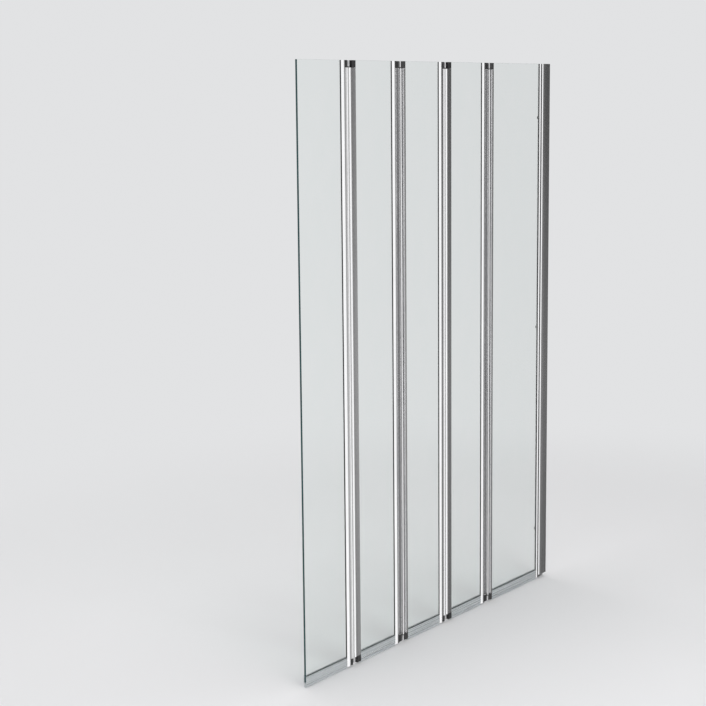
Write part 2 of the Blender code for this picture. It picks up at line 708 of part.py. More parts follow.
def add_lock_screws(assembly, looks):
    """Clamp screws through the channel's bath side, each under a cover cap. Their tips press on the jamb."""
    shank_end = PROFILE_HALF + FIT_GAP - CHANNEL_HALF
    head_top = FIT_GAP + LOCK_HEAD_HEIGHT
    screw_points = [
        (0, head_top),
        (LOCK_HEAD_RADIUS - LOCK_HEAD_ARRIS, head_top),
        (LOCK_HEAD_RADIUS, head_top - LOCK_HEAD_ARRIS),
        (LOCK_HEAD_RADIUS, FIT_GAP),
        (LOCK_SHANK_RADIUS, FIT_GAP),
        (LOCK_SHANK_RADIUS, shank_end),
        (0, shank_end),
    ]
    inner_radius = CAP_RADIUS - CAP_WALL
    inner_top = CAP_HEIGHT - CAP_WALL
    crown = (CAP_RADIUS - CAP_EDGE_RADIUS, CAP_HEIGHT - CAP_EDGE_RADIUS)
    cap_points = [(0, CAP_HEIGHT)] + arc(crown, CAP_EDGE_RADIUS, 90, 0, CORNER_STEPS)
    cap_points += [(CAP_RADIUS, FIT_GAP), (inner_radius, FIT_GAP)]
    cap_points += [(inner_radius, inner_top), (0, inner_top)]
    for index, share in enumerate(LOCK_SCREW_SHARES, 1):
        place = (-LOCK_SCREW_PLACE, CHANNEL_HALF, share * SCREEN_HEIGHT)
        turned(assembly, f"locking_screw_{index}", screw_points, place, looks["steel"])
        turned(assembly, f"screw_cap_{index}", cap_points, place, looks["nylon"])


def add_jamb(assembly, carrier, looks):
    length = SCREEN_HEIGHT - PROFILE_FOOT
    mesh = extruded("adjusting_jamb", [jamb_outline()], length)
    assembly.piece(mesh.name, mesh, (0, 0, PROFILE_FOOT), carrier, looks["aluminium"])
    edge = jamb_glass_edge()
    run = JAMB_REACH - PROFILE_HALF + edge
    outline = gasket_outline(edge, -run)
    top = SCREEN_HEIGHT - FIT_GAP
    add_gasket(assembly, "jamb_gasket", outline, GLASS_FOOT, top, 0, carrier, looks["rubber"])


def jamb_glass_edge():
    return -JAMB_REACH + JAMB_GLASS_DEPTH - GASKET_SEAT


def panel_span(number):
    """Left and right edge of the glass of a panel, and of its bottom seal."""
    if number == 1:
        left = hinge_x(1) - FREE_PANEL_PITCH
        seal_left = left
    else:
        left = hinge_x(number - 1) + short_glass_edge()
        seal_left = hinge_x(number - 1) + SHORT_REACH + FIT_GAP
    if number > HINGES:
        return left, jamb_glass_edge(), seal_left, -JAMB_REACH - FIT_GAP
    right = hinge_x(number) + long_glass_edge()
    return left, right, seal_left, hinge_x(number) - LONG_REACH - FIT_GAP


def main():
    clear_scene()
    looks = {
        "aluminium": new_material("polished_aluminium", *ALUMINIUM),
        "steel": new_material("polished_steel", *STEEL),
        "glass": new_material("clear_glass", *GLASS),
        "nylon": new_material("black_nylon", *NYLON),
        "vinyl": new_material("clear_vinyl", *CLEAR_VINYL),
        "rubber": new_material("gasket_rubber", *GASKET_RUBBER),
    }
    assembly = Assembly()
    add_wall_channel(assembly, looks["aluminium"])
    add_lock_screws(assembly, looks)
    carriers = {HINGES + 1: assembly.carrier("wall_adjustment", (0, 0, 0))}
    for number in range(HINGES, 0, -1):
        place = (hinge_x(number), -ROD_OFFSET * hinge_side(number), 0)
        carriers[number] = assembly.carrier(f"fold_axis_{number}", place, carriers[number + 1])
    add_jamb(assembly, carriers[HINGES + 1], looks)
    for number in range(1, HINGES + 2):
        left, right, seal_left, seal_right = panel_span(number)
        add_glass(assembly, number, left, right, carriers[number], looks["glass"])
        add_seal(assembly, number, seal_left, seal_right, carriers[number], looks["vinyl"])
    for number in range(1, HINGES + 1):
        add_hinge(assembly, number, carriers[number], carriers[number + 1], looks)


main()
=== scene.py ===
import json
import math

import bmesh
import bpy
from mathutils import Matrix, Vector

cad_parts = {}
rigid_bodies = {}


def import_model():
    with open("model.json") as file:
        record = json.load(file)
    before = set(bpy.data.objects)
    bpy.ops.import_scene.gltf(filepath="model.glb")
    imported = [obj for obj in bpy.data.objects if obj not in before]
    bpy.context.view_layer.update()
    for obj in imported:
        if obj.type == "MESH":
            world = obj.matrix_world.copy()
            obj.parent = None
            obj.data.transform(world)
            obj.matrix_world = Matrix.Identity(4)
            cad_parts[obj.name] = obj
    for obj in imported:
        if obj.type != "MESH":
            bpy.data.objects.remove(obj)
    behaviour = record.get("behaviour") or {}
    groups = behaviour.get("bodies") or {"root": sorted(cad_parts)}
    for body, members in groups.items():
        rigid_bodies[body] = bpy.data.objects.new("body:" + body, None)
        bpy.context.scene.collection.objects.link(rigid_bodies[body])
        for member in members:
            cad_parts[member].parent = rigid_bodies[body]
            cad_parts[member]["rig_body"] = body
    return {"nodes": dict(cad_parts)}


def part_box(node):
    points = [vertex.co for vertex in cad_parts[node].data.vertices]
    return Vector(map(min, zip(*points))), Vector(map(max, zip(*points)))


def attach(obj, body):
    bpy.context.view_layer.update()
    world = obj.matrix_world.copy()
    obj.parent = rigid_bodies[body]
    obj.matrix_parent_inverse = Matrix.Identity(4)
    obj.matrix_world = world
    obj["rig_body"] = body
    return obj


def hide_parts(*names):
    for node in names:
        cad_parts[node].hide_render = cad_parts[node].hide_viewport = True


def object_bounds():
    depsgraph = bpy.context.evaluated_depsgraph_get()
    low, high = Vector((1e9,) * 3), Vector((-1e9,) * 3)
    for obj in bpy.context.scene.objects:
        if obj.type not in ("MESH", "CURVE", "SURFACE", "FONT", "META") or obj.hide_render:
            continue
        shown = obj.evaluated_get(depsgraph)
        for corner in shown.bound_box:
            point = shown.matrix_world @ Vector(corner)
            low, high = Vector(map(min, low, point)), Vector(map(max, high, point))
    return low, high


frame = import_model()
cad_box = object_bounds()

# Looks of the folding bath screen. Every visible piece is drawn again with finer curves and softened edges,
# from the section sizes below and from the places that the frame gives. All sizes are in metres.
# X runs along the screen, the wall is at X = 0 and the free edge at the low end of X. -Y is the room side.

HINGES = 4
PANELS = 5
LOCKING_SCREWS = 3

# Section sizes that the frame's boxes don't give
GLASS_HALF = 0.0025
GLASS_ARRIS = 0.0006
FIT_GAP = 0.0003
PROFILE_WALL = 0.0014
MOUTH_GAP = 0.0004
WEB_THICKNESS = 0.0022
RIB_RISE = 0.00175
EDGE_RADIUS = 0.0008
GASKET_BASE = 0.0005
GASKET_ARM = 0.00075
KNUCKLE_WALL = 0.00085
KNUCKLE_NECK_HALF = 0.0022
PIVOT_CLEARANCE = 0.00015
LONG_REACH = 0.034
LONG_GROOVE = 0.012
LONG_RIB_START = 0.0175
LONG_PORT_SPACE = 0.004
COVER_SPACE = 0.002
NOTCH_CUT_IN = 0.0002
SHORT_COVER_REACH = 0.008
SHORT_RIB_END = 0.002
SHORT_CHANNEL_START = 0.011
SHORT_REACH = 0.018
SHORT_LIP = 0.001
PORT_RADIUS = 0.0025
PORT_BORE = 0.0014
PORT_DROP_SHARE = 0.8
SPIGOT_LENGTH = 0.009
EYE_THICKNESS = 0.002
EYE_WALL = 0.0012
EYE_ARM_DROP = 0.0003
EYE_LEAVING_ANGLE = 120
BLOCK_HEIGHT = 0.016
BLOCK_HEEL_WIDTH = 0.0024
BLOCK_INSET = 0.00025
BLOCK_TIP = 0.0037
BLOCK_FLANK_START = 0.0131
PLUG_GAP = 0.0006
CHANNEL_WALL = 0.002
CHANNEL_LIP_RADIUS = 0.005
CHANNEL_MOUTH_SHARE = 0.38
JAMB_GLASS_DEPTH = 0.009
JAMB_FLANGE_THICKNESS = 0.002
WALL_HOLE_SHARES = (0.08, 0.36, 0.64, 0.92)
WALL_HOLE_RADIUS = 0.0025
LOCK_HOLE_RADIUS = 0.0018
SEAL_WALL = 0.0010
SEAL_FLOOR = 0.0012
SEAL_FIN_THICKNESS = 0.0008
SEAL_BULB_RADIUS = 0.0032
SEAL_BULB_WALL = 0.0009
CAP_WALL = 0.0008
CAP_EDGE_RADIUS = 0.0014
ROD_END_SHARE = 0.35

# Soft shapes that the polished surfaces need, all within the plain section
BEAD_CORNER_RADIUS = 0.0020
CHANNEL_FALL = 0.0008
CHANNEL_FALL_LENGTH = 0.017
SEAL_LIP_HEIGHT = 0.0021
SEAL_LIP_TAPER = 0.0003

# Finish of the edges, and how finely round shapes are drawn
METAL_EDGE = 0.00018
NYLON_EDGE = 0.00030
RUBBER_EDGE = 0.00010
VINYL_EDGE = 0.00015
LIP_CLEARANCE = 0.00005
LIP_PROUD = 0.0004
CUT_OVERRUN = 0.004
UNION_OVERLAP = 0.0005
WELD_DISTANCE = 0.000003
ARC_STEPS = 18
CORNER_STEPS = 6
ROUND_STEPS = 64
BORE_STEPS = 32
EDGE_STEPS = 2
NYLON_EDGE_STEPS = 3
ARRIS_STEPS = 4
EDGE_ANGLE = 50
FLAT_ANGLE = 0.05

# How squarely a face looks along an axis to count as the pane's flat side, or as the seal's cut end
PANE_FACE_SHARE = 0.99
SEAL_END_SHARE = 0.5

# Depths of the fine surface texture
DIE_LINE_DEPTH = 0.00002
HAIR_LINE_DEPTH = 0.00001
GLASS_WAVE_DEPTH = 0.0004
GRIND_DEPTH = 0.00002
MOULD_GRAIN_DEPTH = 0.00003
DRAWING_LINE_DEPTH = 0.00002
BLOOM_DEPTH = 0.00004

# Values worked out from the frame and the sizes above
ROD_LOW, ROD_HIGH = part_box("hinge_1_rod")
ROD_RADIUS = (ROD_HIGH.x - ROD_LOW.x) / 2
RIM_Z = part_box("bottom_seal_1")[0].z
TOP_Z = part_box("glass_panel_1")[1].z
SCREEN_HEIGHT = TOP_Z - RIM_Z
MOUTH_HALF = GLASS_HALF + MOUTH_GAP
CAVITY_HALF = GLASS_HALF + FIT_GAP + GASKET_ARM + FIT_GAP
PROFILE_HALF = CAVITY_HALF + PROFILE_WALL
MOUTH_SET_BACK = PROFILE_HALF - math.sqrt(PROFILE_HALF**2 - MOUTH_HALF**2)
WEB_FACE = PROFILE_HALF - WEB_THICKNESS
GASKET_SEAT = FIT_GAP + GASKET_BASE + FIT_GAP
PIVOT_BORE = ROD_RADIUS + PIVOT_CLEARANCE
KNUCKLE_RADIUS = PIVOT_BORE + KNUCKLE_WALL
ROD_OFFSET = PROFILE_HALF - KNUCKLE_RADIUS
EYE_RADIUS = PIVOT_BORE + EYE_WALL
PLUG_START = EYE_RADIUS + PLUG_GAP
LONG_CHANNEL_END = LONG_REACH - LONG_GROOVE
LONG_RIB_END = SHORT_COVER_REACH + COVER_SPACE
PORT_SHIFT = WEB_FACE - PORT_DROP_SHARE * PORT_RADIUS
LONG_PORT = (-LONG_CHANNEL_END + LONG_PORT_SPACE, PORT_SHIFT)
SHORT_PORT = ((KNUCKLE_RADIUS + SHORT_CHANNEL_START) / 2, PORT_SHIFT)
ROD_CENTRE = (0, -ROD_OFFSET)
NYLON_FACE = PROFILE_HALF - BLOCK_INSET
LONG_GLASS_EDGE = -LONG_CHANNEL_END - PROFILE_WALL - GASKET_SEAT
SHORT_GLASS_EDGE = SHORT_CHANNEL_START + PROFILE_WALL + GASKET_SEAT
SEAL_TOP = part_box("bottom_seal_1")[1].z - RIM_Z
GLASS_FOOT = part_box("glass_panel_1")[0].z - RIM_Z


def arc(centre, radius, start, end, steps=ARC_STEPS):
    """Points round a centre from one angle to another, both in degrees."""
    turns = [math.radians(start + (end - start) * i / steps) for i in range(steps + 1)]
    return [(centre[0] + radius * math.cos(t), centre[1] + radius * math.sin(t)) for t in turns]


def circle(centre, radius, steps=ROUND_STEPS):
    """Points of a whole circle, none of them twice."""
    return arc(centre, radius, 0, 360, steps)[:-1]


def bow(start, end, rise, steps=ARC_STEPS):
    """Points of a shallow round rib that stands up from a level line between two points."""
    half = (end[0] - start[0]) / 2
    radius = (half * half + rise * rise) / (2 * rise)
    centre = (start[0] + half, start[1] + rise - radius)
    spread = math.degrees(math.atan2(half, radius - rise))
    return arc(centre, radius, 90 + spread, 90 - spread, steps)


def soft_corner(before, corner, after, radius, steps=CORNER_STEPS):
    """Points of a round corner that replaces a sharp one."""
    to_before = (before[0] - corner[0], before[1] - corner[1])
    to_after = (after[0] - corner[0], after[1] - corner[1])
    first = math.atan2(to_before[1], to_before[0])
    second = math.atan2(to_after[1], to_after[0])
    half_angle = math.remainder(second - first, 2 * math.pi) / 2
    middle = first + half_angle
    away = radius / math.sin(abs(half_angle))
    centre = (corner[0] + away * math.cos(middle), corner[1] + away * math.sin(middle))
    sweep = math.degrees(math.pi - 2 * abs(half_angle)) / 2
    sweep = math.copysign(sweep, half_angle)
    outward = math.degrees(middle) + 180
    return arc(centre, radius, outward + sweep, outward - sweep, steps)


def flipped(points):
    """The outline turned over along X, still running the same way round."""
    return [(x, -y) for x, y in reversed(points)]


def mirrored(points, side):
    """The outline as drawn, or turned over for a hinge that folds the other way."""
    return points if side > 0 else flipped(points)


def moved(points, x):
    """The outline moved along X."""
    return [(px + x, py) for px, py in points]


def mesh_from_curve(curve, name):
    """The mesh of a filled 2D curve, its caps welded to its sides and drawn with few faces."""
    guide = bpy.data.objects.new(name, curve)
    bpy.context.scene.collection.objects.link(guide)
    graph = bpy.context.evaluated_depsgraph_get()
    mesh = bpy.data.meshes.new_from_object(guide.evaluated_get(graph))
    bpy.data.objects.remove(guide, do_unlink=True)
    bpy.data.curves.remove(curve)
    shape = bmesh.new()
    shape.from_mesh(mesh)
    bmesh.ops.remove_doubles(shape, verts=shape.verts, dist=WELD_DISTANCE)
    bmesh.ops.recalc_face_normals(shape, faces=shape.faces)
    shape.to_mesh(mesh)
    shape.free()
    mesh.name = name
    return mesh


def extruded(name, outlines, bottom, top):
    """A mesh of the outlines, drawn in XY and drawn out along Z. Inner outlines are holes."""
    curve = bpy.data.curves.new(name, "CURVE")
    curve.dimensions = "2D"
    curve.fill_mode = "BOTH"
    curve.extrude = (top - bottom) / 2
    for points in outlines:
        spline = curve.splines.new("POLY")
        spline.points.add(len(points) - 1)
        for point, (x, y) in zip(spline.points, points):
            point.co = (x, y, 0, 1)
        spline.use_cyclic_u = True
    mesh = mesh_from_curve(curve, name)
    mesh.transform(Matrix.Translation((0, 0, (bottom + top) / 2)))
    return mesh


def finished(shape, name):
    """A new mesh with the shape of a bmesh, which is then freed."""
    mesh = bpy.data.meshes.new(name)
    shape.to_mesh(mesh)
    shape.free()
    return mesh


def box_mesh(name, low, high):
    """A box between two corners."""
    shape = bmesh.new()
    bmesh.ops.create_cube(shape, size=1.0)
    size = Matrix.Diagonal([high[i] - low[i] for i in range(3)] + [1])
    middle = Matrix.Translation([(high[i] + low[i]) / 2 for i in range(3)])
    bmesh.ops.transform(shape, matrix=middle @ size, verts=shape.verts)
    return finished(shape, name)


def bar_mesh(name, radius, start, direction, length, steps=BORE_STEPS):
    """A round bar from a point along a direction."""
    shape = bmesh.new()
    turn = Vector((0, 0, 1)).rotation_difference(Vector(direction)).to_matrix().to_4x4()
    place = Matrix.Translation(start) @ turn @ Matrix.Translation((0, 0, length / 2))
    bmesh.ops.create_cone(
        shape,
        cap_ends=True,
        segments=steps,
        radius1=radius,
        radius2=radius,
        depth=length,
        matrix=place,
    )
    return finished(shape, name)


def turned_mesh(name, profile, place, steps=ROUND_STEPS):
    """A turned solid from (radius, height) pairs, first and last on the axis. place moves it from +Z."""
    shape = bmesh.new()
    rings = []
    for radius, height in profile:
        if radius == 0:
            rings.append([shape.verts.new(place @ Vector((0, 0, height)))])
            continue
        around = circle((0, 0), radius, steps)
        rings.append([shape.verts.new(place @ Vector((x, y, height))) for x, y in around])
    for low, high in zip(rings, rings[1:]):
        for i in range(steps):
            j = (i + 1) % steps
            if len(low) == 1:
                shape.faces.new((low[0], high[j], high[i]))
            elif len(high) == 1:
                shape.faces.new((low[i], low[j], high[0]))
            else:
                shape.faces.new((low[i], low[j], high[j], high[i]))
    bmesh.ops.recalc_face_normals(shape, faces=shape.faces)
    return finished(shape, name)


def combined(mesh, others, operation):
    """The mesh with the others cut out of it or joined to it."""
    base = bpy.data.objects.new(mesh.name, mesh)
    bpy.context.scene.collection.objects.link(base)
    helpers = []
    for other in others:
        helper = bpy.data.objects.new(other.name, other)
        bpy.context.scene.collection.objects.link(helper)
        helpers.append(helper)
        modifier = base.modifiers.new(operation.title(), "BOOLEAN")
        modifier.operation = operation
        modifier.solver = "EXACT"
        modifier.object = helper
    graph = bpy.context.evaluated_depsgraph_get()
    result = bpy.data.meshes.new_from_object(base.evaluated_get(graph))
    for obj in [base, *helpers]:
        used = obj.data
        bpy.data.objects.remove(obj, do_unlink=True)
        bpy.data.meshes.remove(used)
    return result


def simplified(mesh):
    """The mesh with its flat caps drawn in few faces, so that its edges can be softened cleanly."""
    shape = bmesh.new()
    shape.from_mesh(mesh)
    bmesh.ops.dissolve_limit(
        shape,
        angle_limit=math.radians(FLAT_ANGLE),
        verts=shape.verts,
        edges=shape.edges,
        use_dissolve_boundaries=False,
    )
    shape.to_mesh(mesh)
    shape.free()
    return mesh


def add_piece(name, mesh, nodes, material, edge=0.0, steps=EDGE_STEPS):
    """A piece that stands for CAD nodes and rides on their body, with softened edges where edge is given."""
    piece = bpy.data.objects.new(name, mesh)
    bpy.context.scene.collection.objects.link(piece)
    mesh.materials.clear()
    mesh.materials.append(material)
    mesh.shade_smooth()
    if edge > 0:
        bevel = piece.modifiers.new("Softened edges", "BEVEL")
        bevel.width = edge
        bevel.segments = steps
        bevel.limit_method = "ANGLE"
        bevel.angle_limit = math.radians(EDGE_ANGLE)
        bevel.use_clamp_overlap = True
        normals = piece.modifiers.new("Even faces", "WEIGHTED_NORMAL")
        normals.keep_sharp = True
    mesh.set_sharp_from_angle(angle=math.radians(EDGE_ANGLE))
    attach(piece, frame["nodes"][nodes[0]]["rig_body"])
    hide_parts(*nodes)


class Shader:
    """A material's node tree round its Principled shader."""

    def __init__(self, name, plain):
        self.material = bpy.data.materials.new(name)
        self.material.use_nodes = True
        self.tree = self.material.node_tree
        self.surface = self.tree.nodes["Principled BSDF"]
        self.output = self.tree.nodes["Material Output"]
        self.place = self.tree.nodes.new("ShaderNodeTexCoord").outputs["Object"]
        for socket, value in plain.items():
            self.surface.inputs[socket].default_value = value

    def node(self, kind, **links):
        """A new node. Links are given as input name, with _ for a space, and the socket or value there."""
        node = self.tree.nodes.new(kind)
        for name, value in links.items():
            self.feed(node.inputs[name.replace("_", " ")], value)
        return node

    def feed(self, socket, value):
        """Links another node's socket to this one, or sets a plain value on it."""
        if isinstance(value, bpy.types.NodeSocket):
            self.tree.links.new(value, socket)
        else:
            socket.default_value = value

    def noise(self, stretch, detail=2.0, roughness=0.5):
        """Noise whose features are 1/stretch metres long along X, Y and Z."""
        place = self.node("ShaderNodeMapping", Vector=self.place, Scale=stretch)
        node = self.node("ShaderNodeTexNoise", Vector=place.outputs[0], Scale=1.0)
        node.inputs["Detail"].default_value = detail
        node.inputs["Roughness"].default_value = roughness
        return node.outputs["Fac"]

    def span(self, value, low, high, start=0.3, end=0.7):
        """The value's run from start to end, spread over low to high."""
        node = self.node("ShaderNodeMapRange", Value=value)
        node.inputs["From Min"].default_value = start
        node.inputs["From Max"].default_value = end
        node.inputs["To Min"].default_value = low
        node.inputs["To Max"].default_value = high
        return node.outputs["Result"]

    def colours(self, share, first, second):
        """The base colour, from the first at a share of 0 to the second at 1."""
        node = self.tree.nodes.new("ShaderNodeMix")
        node.data_type = "RGBA"
        self.feed(node.inputs["Factor"], share)
        node.inputs["A"].default_value = (*first, 1)
        node.inputs["B"].default_value = (*second, 1)
        self.tree.links.new(
            [o for o in node.outputs if o.type == "RGBA"][0], self.surface.inputs["Base Color"]
        )

    def bump(self, height, strength, distance):
        """Fine relief of the surface, distance deep at a strength of 1."""
        node = self.node("ShaderNodeBump", Height=height)
        node.inputs["Strength"].default_value = strength
        node.inputs["Distance"].default_value = distance
        self.tree.links.new(node.outputs["Normal"], self.surface.inputs["Normal"])

    def lets_lamps_through(self, tint):
        """Rays from lamps pass, tinted, so that the clear piece casts only a faint shadow."""
        path = self.tree.nodes.new("ShaderNodeLightPath")
        clear = self.tree.nodes.new("ShaderNodeBsdfTransparent")
        clear.inputs["Color"].default_value = (*tint, 1)
        mix = self.tree.nodes.new("ShaderNodeMixShader")
        self.tree.links.new(path.outputs["Is Shadow Ray"], mix.inputs["Fac"])
        self.tree.links.new(self.surface.outputs["BSDF"], mix.inputs[1])
        self.tree.links.new(clear.outputs["BSDF"], mix.inputs[2])
        self.tree.links.new(mix.outputs["Shader"], self.output.inputs["Surface"])


def aluminium_material():
    """Bright polished extrusion: fine die lines along its length and a slight clouding of the polish."""
    shader = Shader("polished_aluminium_finish", {"Metallic": 1.0})
    lines = shader.noise((1500, 1500, 0.5), detail=4, roughness=0.6)
    clouds = shader.noise((60, 60, 9), detail=3)
    shader.colours(shader.span(clouds, 0, 1), (0.81, 0.81, 0.82), (0.87, 0.87, 0.88))
    shader.tree.links.new(shader.span(lines, 0.13, 0.21), shader.surface.inputs["Roughness"])
    shader.bump(lines, 0.04, DIE_LINE_DEPTH)
    return shader.material


def steel_material():
    """Drawn and polished rod: a brighter, smoother finish with hair lines along it."""
    shader = Shader("polished_steel_finish", {"Metallic": 1.0})
    lines = shader.noise((2600, 2600, 1.5), detail=3, roughness=0.55)
    clouds = shader.noise((90, 90, 14), detail=2)
    shader.colours(shader.span(clouds, 0, 1), (0.76, 0.76, 0.775), (0.83, 0.83, 0.84))
    shader.tree.links.new(shader.span(lines, 0.06, 0.13), shader.surface.inputs["Roughness"])
    shader.bump(lines, 0.10, HAIR_LINE_DEPTH)
    return shader.material


def glass_material():
    """Clear safety glass with a faint green cast, very slight waves and a film of handling marks."""
    shader = Shader(
        "clear_glass_finish", {"Metallic": 0.0, "Transmission Weight": 1.0, "IOR": 1.5}
    )
    marks = shader.noise((22, 22, 14), detail=6, roughness=0.62)
    waves = shader.noise((7, 7, 3), detail=1)
    shader.colours(shader.span(marks, 0, 1), (0.955, 0.985, 0.975), (0.975, 0.995, 0.988))
    shader.tree.links.new(shader.span(marks, 0.0, 0.02, 0.5, 0.8), shader.surface.inputs["Roughness"])
    shader.bump(waves, 0.12, GLASS_WAVE_DEPTH)
    shader.lets_lamps_through((0.90, 0.95, 0.93))
    return shader.material


def glass_edge_material():
    """The ground and polished edge: its grind is real, and its dark green is painted shade that stands in
    for the glass seen through its own depth.
    """
    shader = Shader("glass_edge_grind_and_painted_depth_shade", {"Metallic": 0.0, "IOR": 1.5, "Transmission Weight": 0.25})
    depth = shader.noise((300, 300, 16), detail=3)
    grind = shader.noise((2400, 2400, 40), detail=2)
    # Painted shade: the dark green stands in for the light that the glass's own depth takes from its edge.
    shader.colours(shader.span(depth, 0, 1), (0.007, 0.046, 0.050), (0.022, 0.092, 0.098))
    shader.tree.links.new(shader.span(grind, 0.05, 0.16), shader.surface.inputs["Roughness"])
    shader.bump(grind, 0.15, GRIND_DEPTH)
    return shader.material


def nylon_material():
    """Black moulded nylon: satin, with the fine grain of a spark-finished mould."""
    shader = Shader("black_nylon_finish", {"Metallic": 0.0, "IOR": 1.53})
    grain = shader.noise((5200, 5200, 5200), detail=3, roughness=0.65)
    flow = shader.noise((180, 180, 180), detail=2)
    shader.colours(shader.span(flow, 0, 1), (0.008, 0.008, 0.009), (0.016, 0.016, 0.017))
    shader.tree.links.new(shader.span(grain, 0.34, 0.50), shader.surface.inputs["Roughness"])
    shader.bump(grain, 0.40, MOULD_GRAIN_DEPTH)
    return shader.material


def vinyl_material():
    """Clear soft vinyl extrusion: slightly milky, with faint drawing lines along its length."""
    shader = Shader(
        "clear_vinyl_finish", {"Metallic": 0.0, "Transmission Weight": 0.72, "IOR": 1.45}
    )
    lines = shader.noise((2, 700, 700), detail=3, roughness=0.5)
    milk = shader.noise((9, 40, 40), detail=3)
    shader.colours(shader.span(milk, 0, 1), (0.76, 0.785, 0.795), (0.84, 0.86, 0.87))
    shader.tree.links.new(shader.span(lines, 0.24, 0.34), shader.surface.inputs["Roughness"])
    shader.bump(lines, 0.10, DRAWING_LINE_DEPTH)
    shader.lets_lamps_through((0.72, 0.74, 0.76))
    return shader.material


def vinyl_lip_material():
    """The thin lip of the bottom seal: clear vinyl whose dark colour is painted shade, standing in for the
    dark line of shade along the seal's top edge.
    """
    shader = Shader("clear_vinyl_lip_painted_shade", {"Metallic": 0.0, "Transmission Weight": 0.55, "IOR": 1.45})
    lip_noise = shader.noise((30, 500, 500), detail=3)
    # Painted shade: the near-black tone stands in for the shade along the seal's top edge. Only the
    # roughness and bump are the vinyl's own.
    shader.colours(shader.span(lip_noise, 0, 1), (0.035, 0.040, 0.042), (0.085, 0.095, 0.098))
    shader.tree.links.new(shader.span(lip_noise, 0.22, 0.34), shader.surface.inputs["Roughness"])
    shader.bump(lip_noise, 0.10, DRAWING_LINE_DEPTH)
    shader.lets_lamps_through((0.40, 0.42, 0.43))
    return shader.material


def rubber_material():
    """Dull black glazing rubber, with a dusty bloom."""
    shader = Shader("gasket_rubber_finish", {"Metallic": 0.0, "IOR": 1.5})
    bloom = shader.noise((700, 700, 90), detail=4, roughness=0.7)
    shader.colours(shader.span(bloom, 0, 1), (0.018, 0.018, 0.019), (0.050, 0.050, 0.052))
    shader.tree.links.new(shader.span(bloom, 0.62, 0.85), shader.surface.inputs["Roughness"])
    shader.bump(bloom, 0.40, BLOOM_DEPTH)
    return shader.material


def nose_side(nose, up):
    """Outer face of a round nose on one side, from its mouth to its flat flank."""
    mouth = math.degrees(math.asin(MOUTH_HALF / PROFILE_HALF))
    return arc(nose, PROFILE_HALF, 180 - up * mouth, 180 - up * 90)


def nose_inside(nose, up):
    """Inner face of a round nose on one side, from its cavity to its mouth."""
    mouth = math.degrees(math.asin(MOUTH_HALF / CAVITY_HALF))
    return arc(nose, CAVITY_HALF, 180 - up * 90, 180 - up * mouth)


def bead_side(crown, up):
    """Outer face of a bead on one side, from mouth to crown: part of an ellipse that widens slowly."""
    mouth = -LONG_REACH + MOUTH_SET_BACK
    start = math.asin(MOUTH_HALF / PROFILE_HALF)
    length = (crown - mouth) / math.cos(start)
    turns = [start + (math.pi / 2 - start) * i / ARC_STEPS for i in range(ARC_STEPS + 1)]
    return [(crown - length * math.cos(t), up * PROFILE_HALF * math.sin(t)) for t in turns]


def port_below(centre, start_side):
    """The outside of a screw port that hangs from the web, from one side round to the other."""
    rise = math.degrees(math.asin((WEB_FACE - centre[1]) / PORT_RADIUS))
    if start_side > 0:
        return arc(centre, PORT_RADIUS, rise, -180 - rise)
    return arc(centre, PORT_RADIUS, 180 - rise, 360 + rise)


def long_profile_outlines():
    """Glazing channel with a round nose, and a web with a rib that reaches towards the rod."""
    nose = (-LONG_REACH + PROFILE_HALF, 0)
    crown = -LONG_CHANNEL_END - BEAD_CORNER_RADIUS
    cavity_end = -LONG_CHANNEL_END - PROFILE_WALL
    corner = (-LONG_CHANNEL_END, -PROFILE_HALF)
    outline = bead_side(crown, 1)
    outline += bow((-LONG_RIB_START, PROFILE_HALF), (-LONG_RIB_END, PROFILE_HALF), RIB_RISE)
    outline.append((-LONG_RIB_END, WEB_FACE))
    outline += port_below(LONG_PORT, 1)
    outline.append((-LONG_CHANNEL_END, WEB_FACE))
    outline += soft_corner(outline[-1], corner, (nose[0], -PROFILE_HALF), BEAD_CORNER_RADIUS)[:-1]
    outline += reversed(bead_side(crown, -1))
    outline += reversed(nose_inside(nose, -1))
    outline += [(cavity_end, -CAVITY_HALF), (cavity_end, CAVITY_HALF)]
    outline += nose_inside(nose, 1)
    return [outline, circle(LONG_PORT, PORT_BORE, BORE_STEPS)]


def short_profile_outlines():
    """Glazing channel, a web that covers the rod on the closed side, and the knuckle round the rod."""
    right = SHORT_REACH
    start = SHORT_CHANNEL_START
    inner_lip = right - SHORT_LIP
    floor = start + PROFILE_WALL
    neck = math.degrees(math.acos(KNUCKLE_NECK_HALF / KNUCKLE_RADIUS))
    outline = [(right, MOUTH_HALF)]
    outline += soft_corner(outline[0], (right, PROFILE_HALF), (start, PROFILE_HALF), EDGE_RADIUS)
    cover = bow((-SHORT_COVER_REACH, PROFILE_HALF), (SHORT_RIB_END, PROFILE_HALF), RIB_RISE)
    outline += reversed(cover)
    outline += [(-SHORT_COVER_REACH, WEB_FACE), (-KNUCKLE_NECK_HALF, WEB_FACE)]
    outline += arc(ROD_CENTRE, KNUCKLE_RADIUS, 180 - neck, 360 + neck, 2 * ARC_STEPS)
    outline.append((KNUCKLE_NECK_HALF, WEB_FACE))
    outline += port_below(SHORT_PORT, -1)
    outline.append((start, WEB_FACE))
    for corner, after in (
        ((start, -PROFILE_HALF), (right, -PROFILE_HALF)),
        ((right, -PROFILE_HALF), (right, -MOUTH_HALF)),
    ):
        outline += soft_corner(outline[-1], corner, after, EDGE_RADIUS)
    outline += [(right, -MOUTH_HALF), (inner_lip, -MOUTH_HALF), (inner_lip, -CAVITY_HALF)]
    outline += [(floor, -CAVITY_HALF), (floor, CAVITY_HALF)]
    outline += [(inner_lip, CAVITY_HALF), (inner_lip, MOUTH_HALF)]
    return [outline, circle(ROD_CENTRE, PIVOT_BORE), circle(SHORT_PORT, PORT_BORE, BORE_STEPS)]


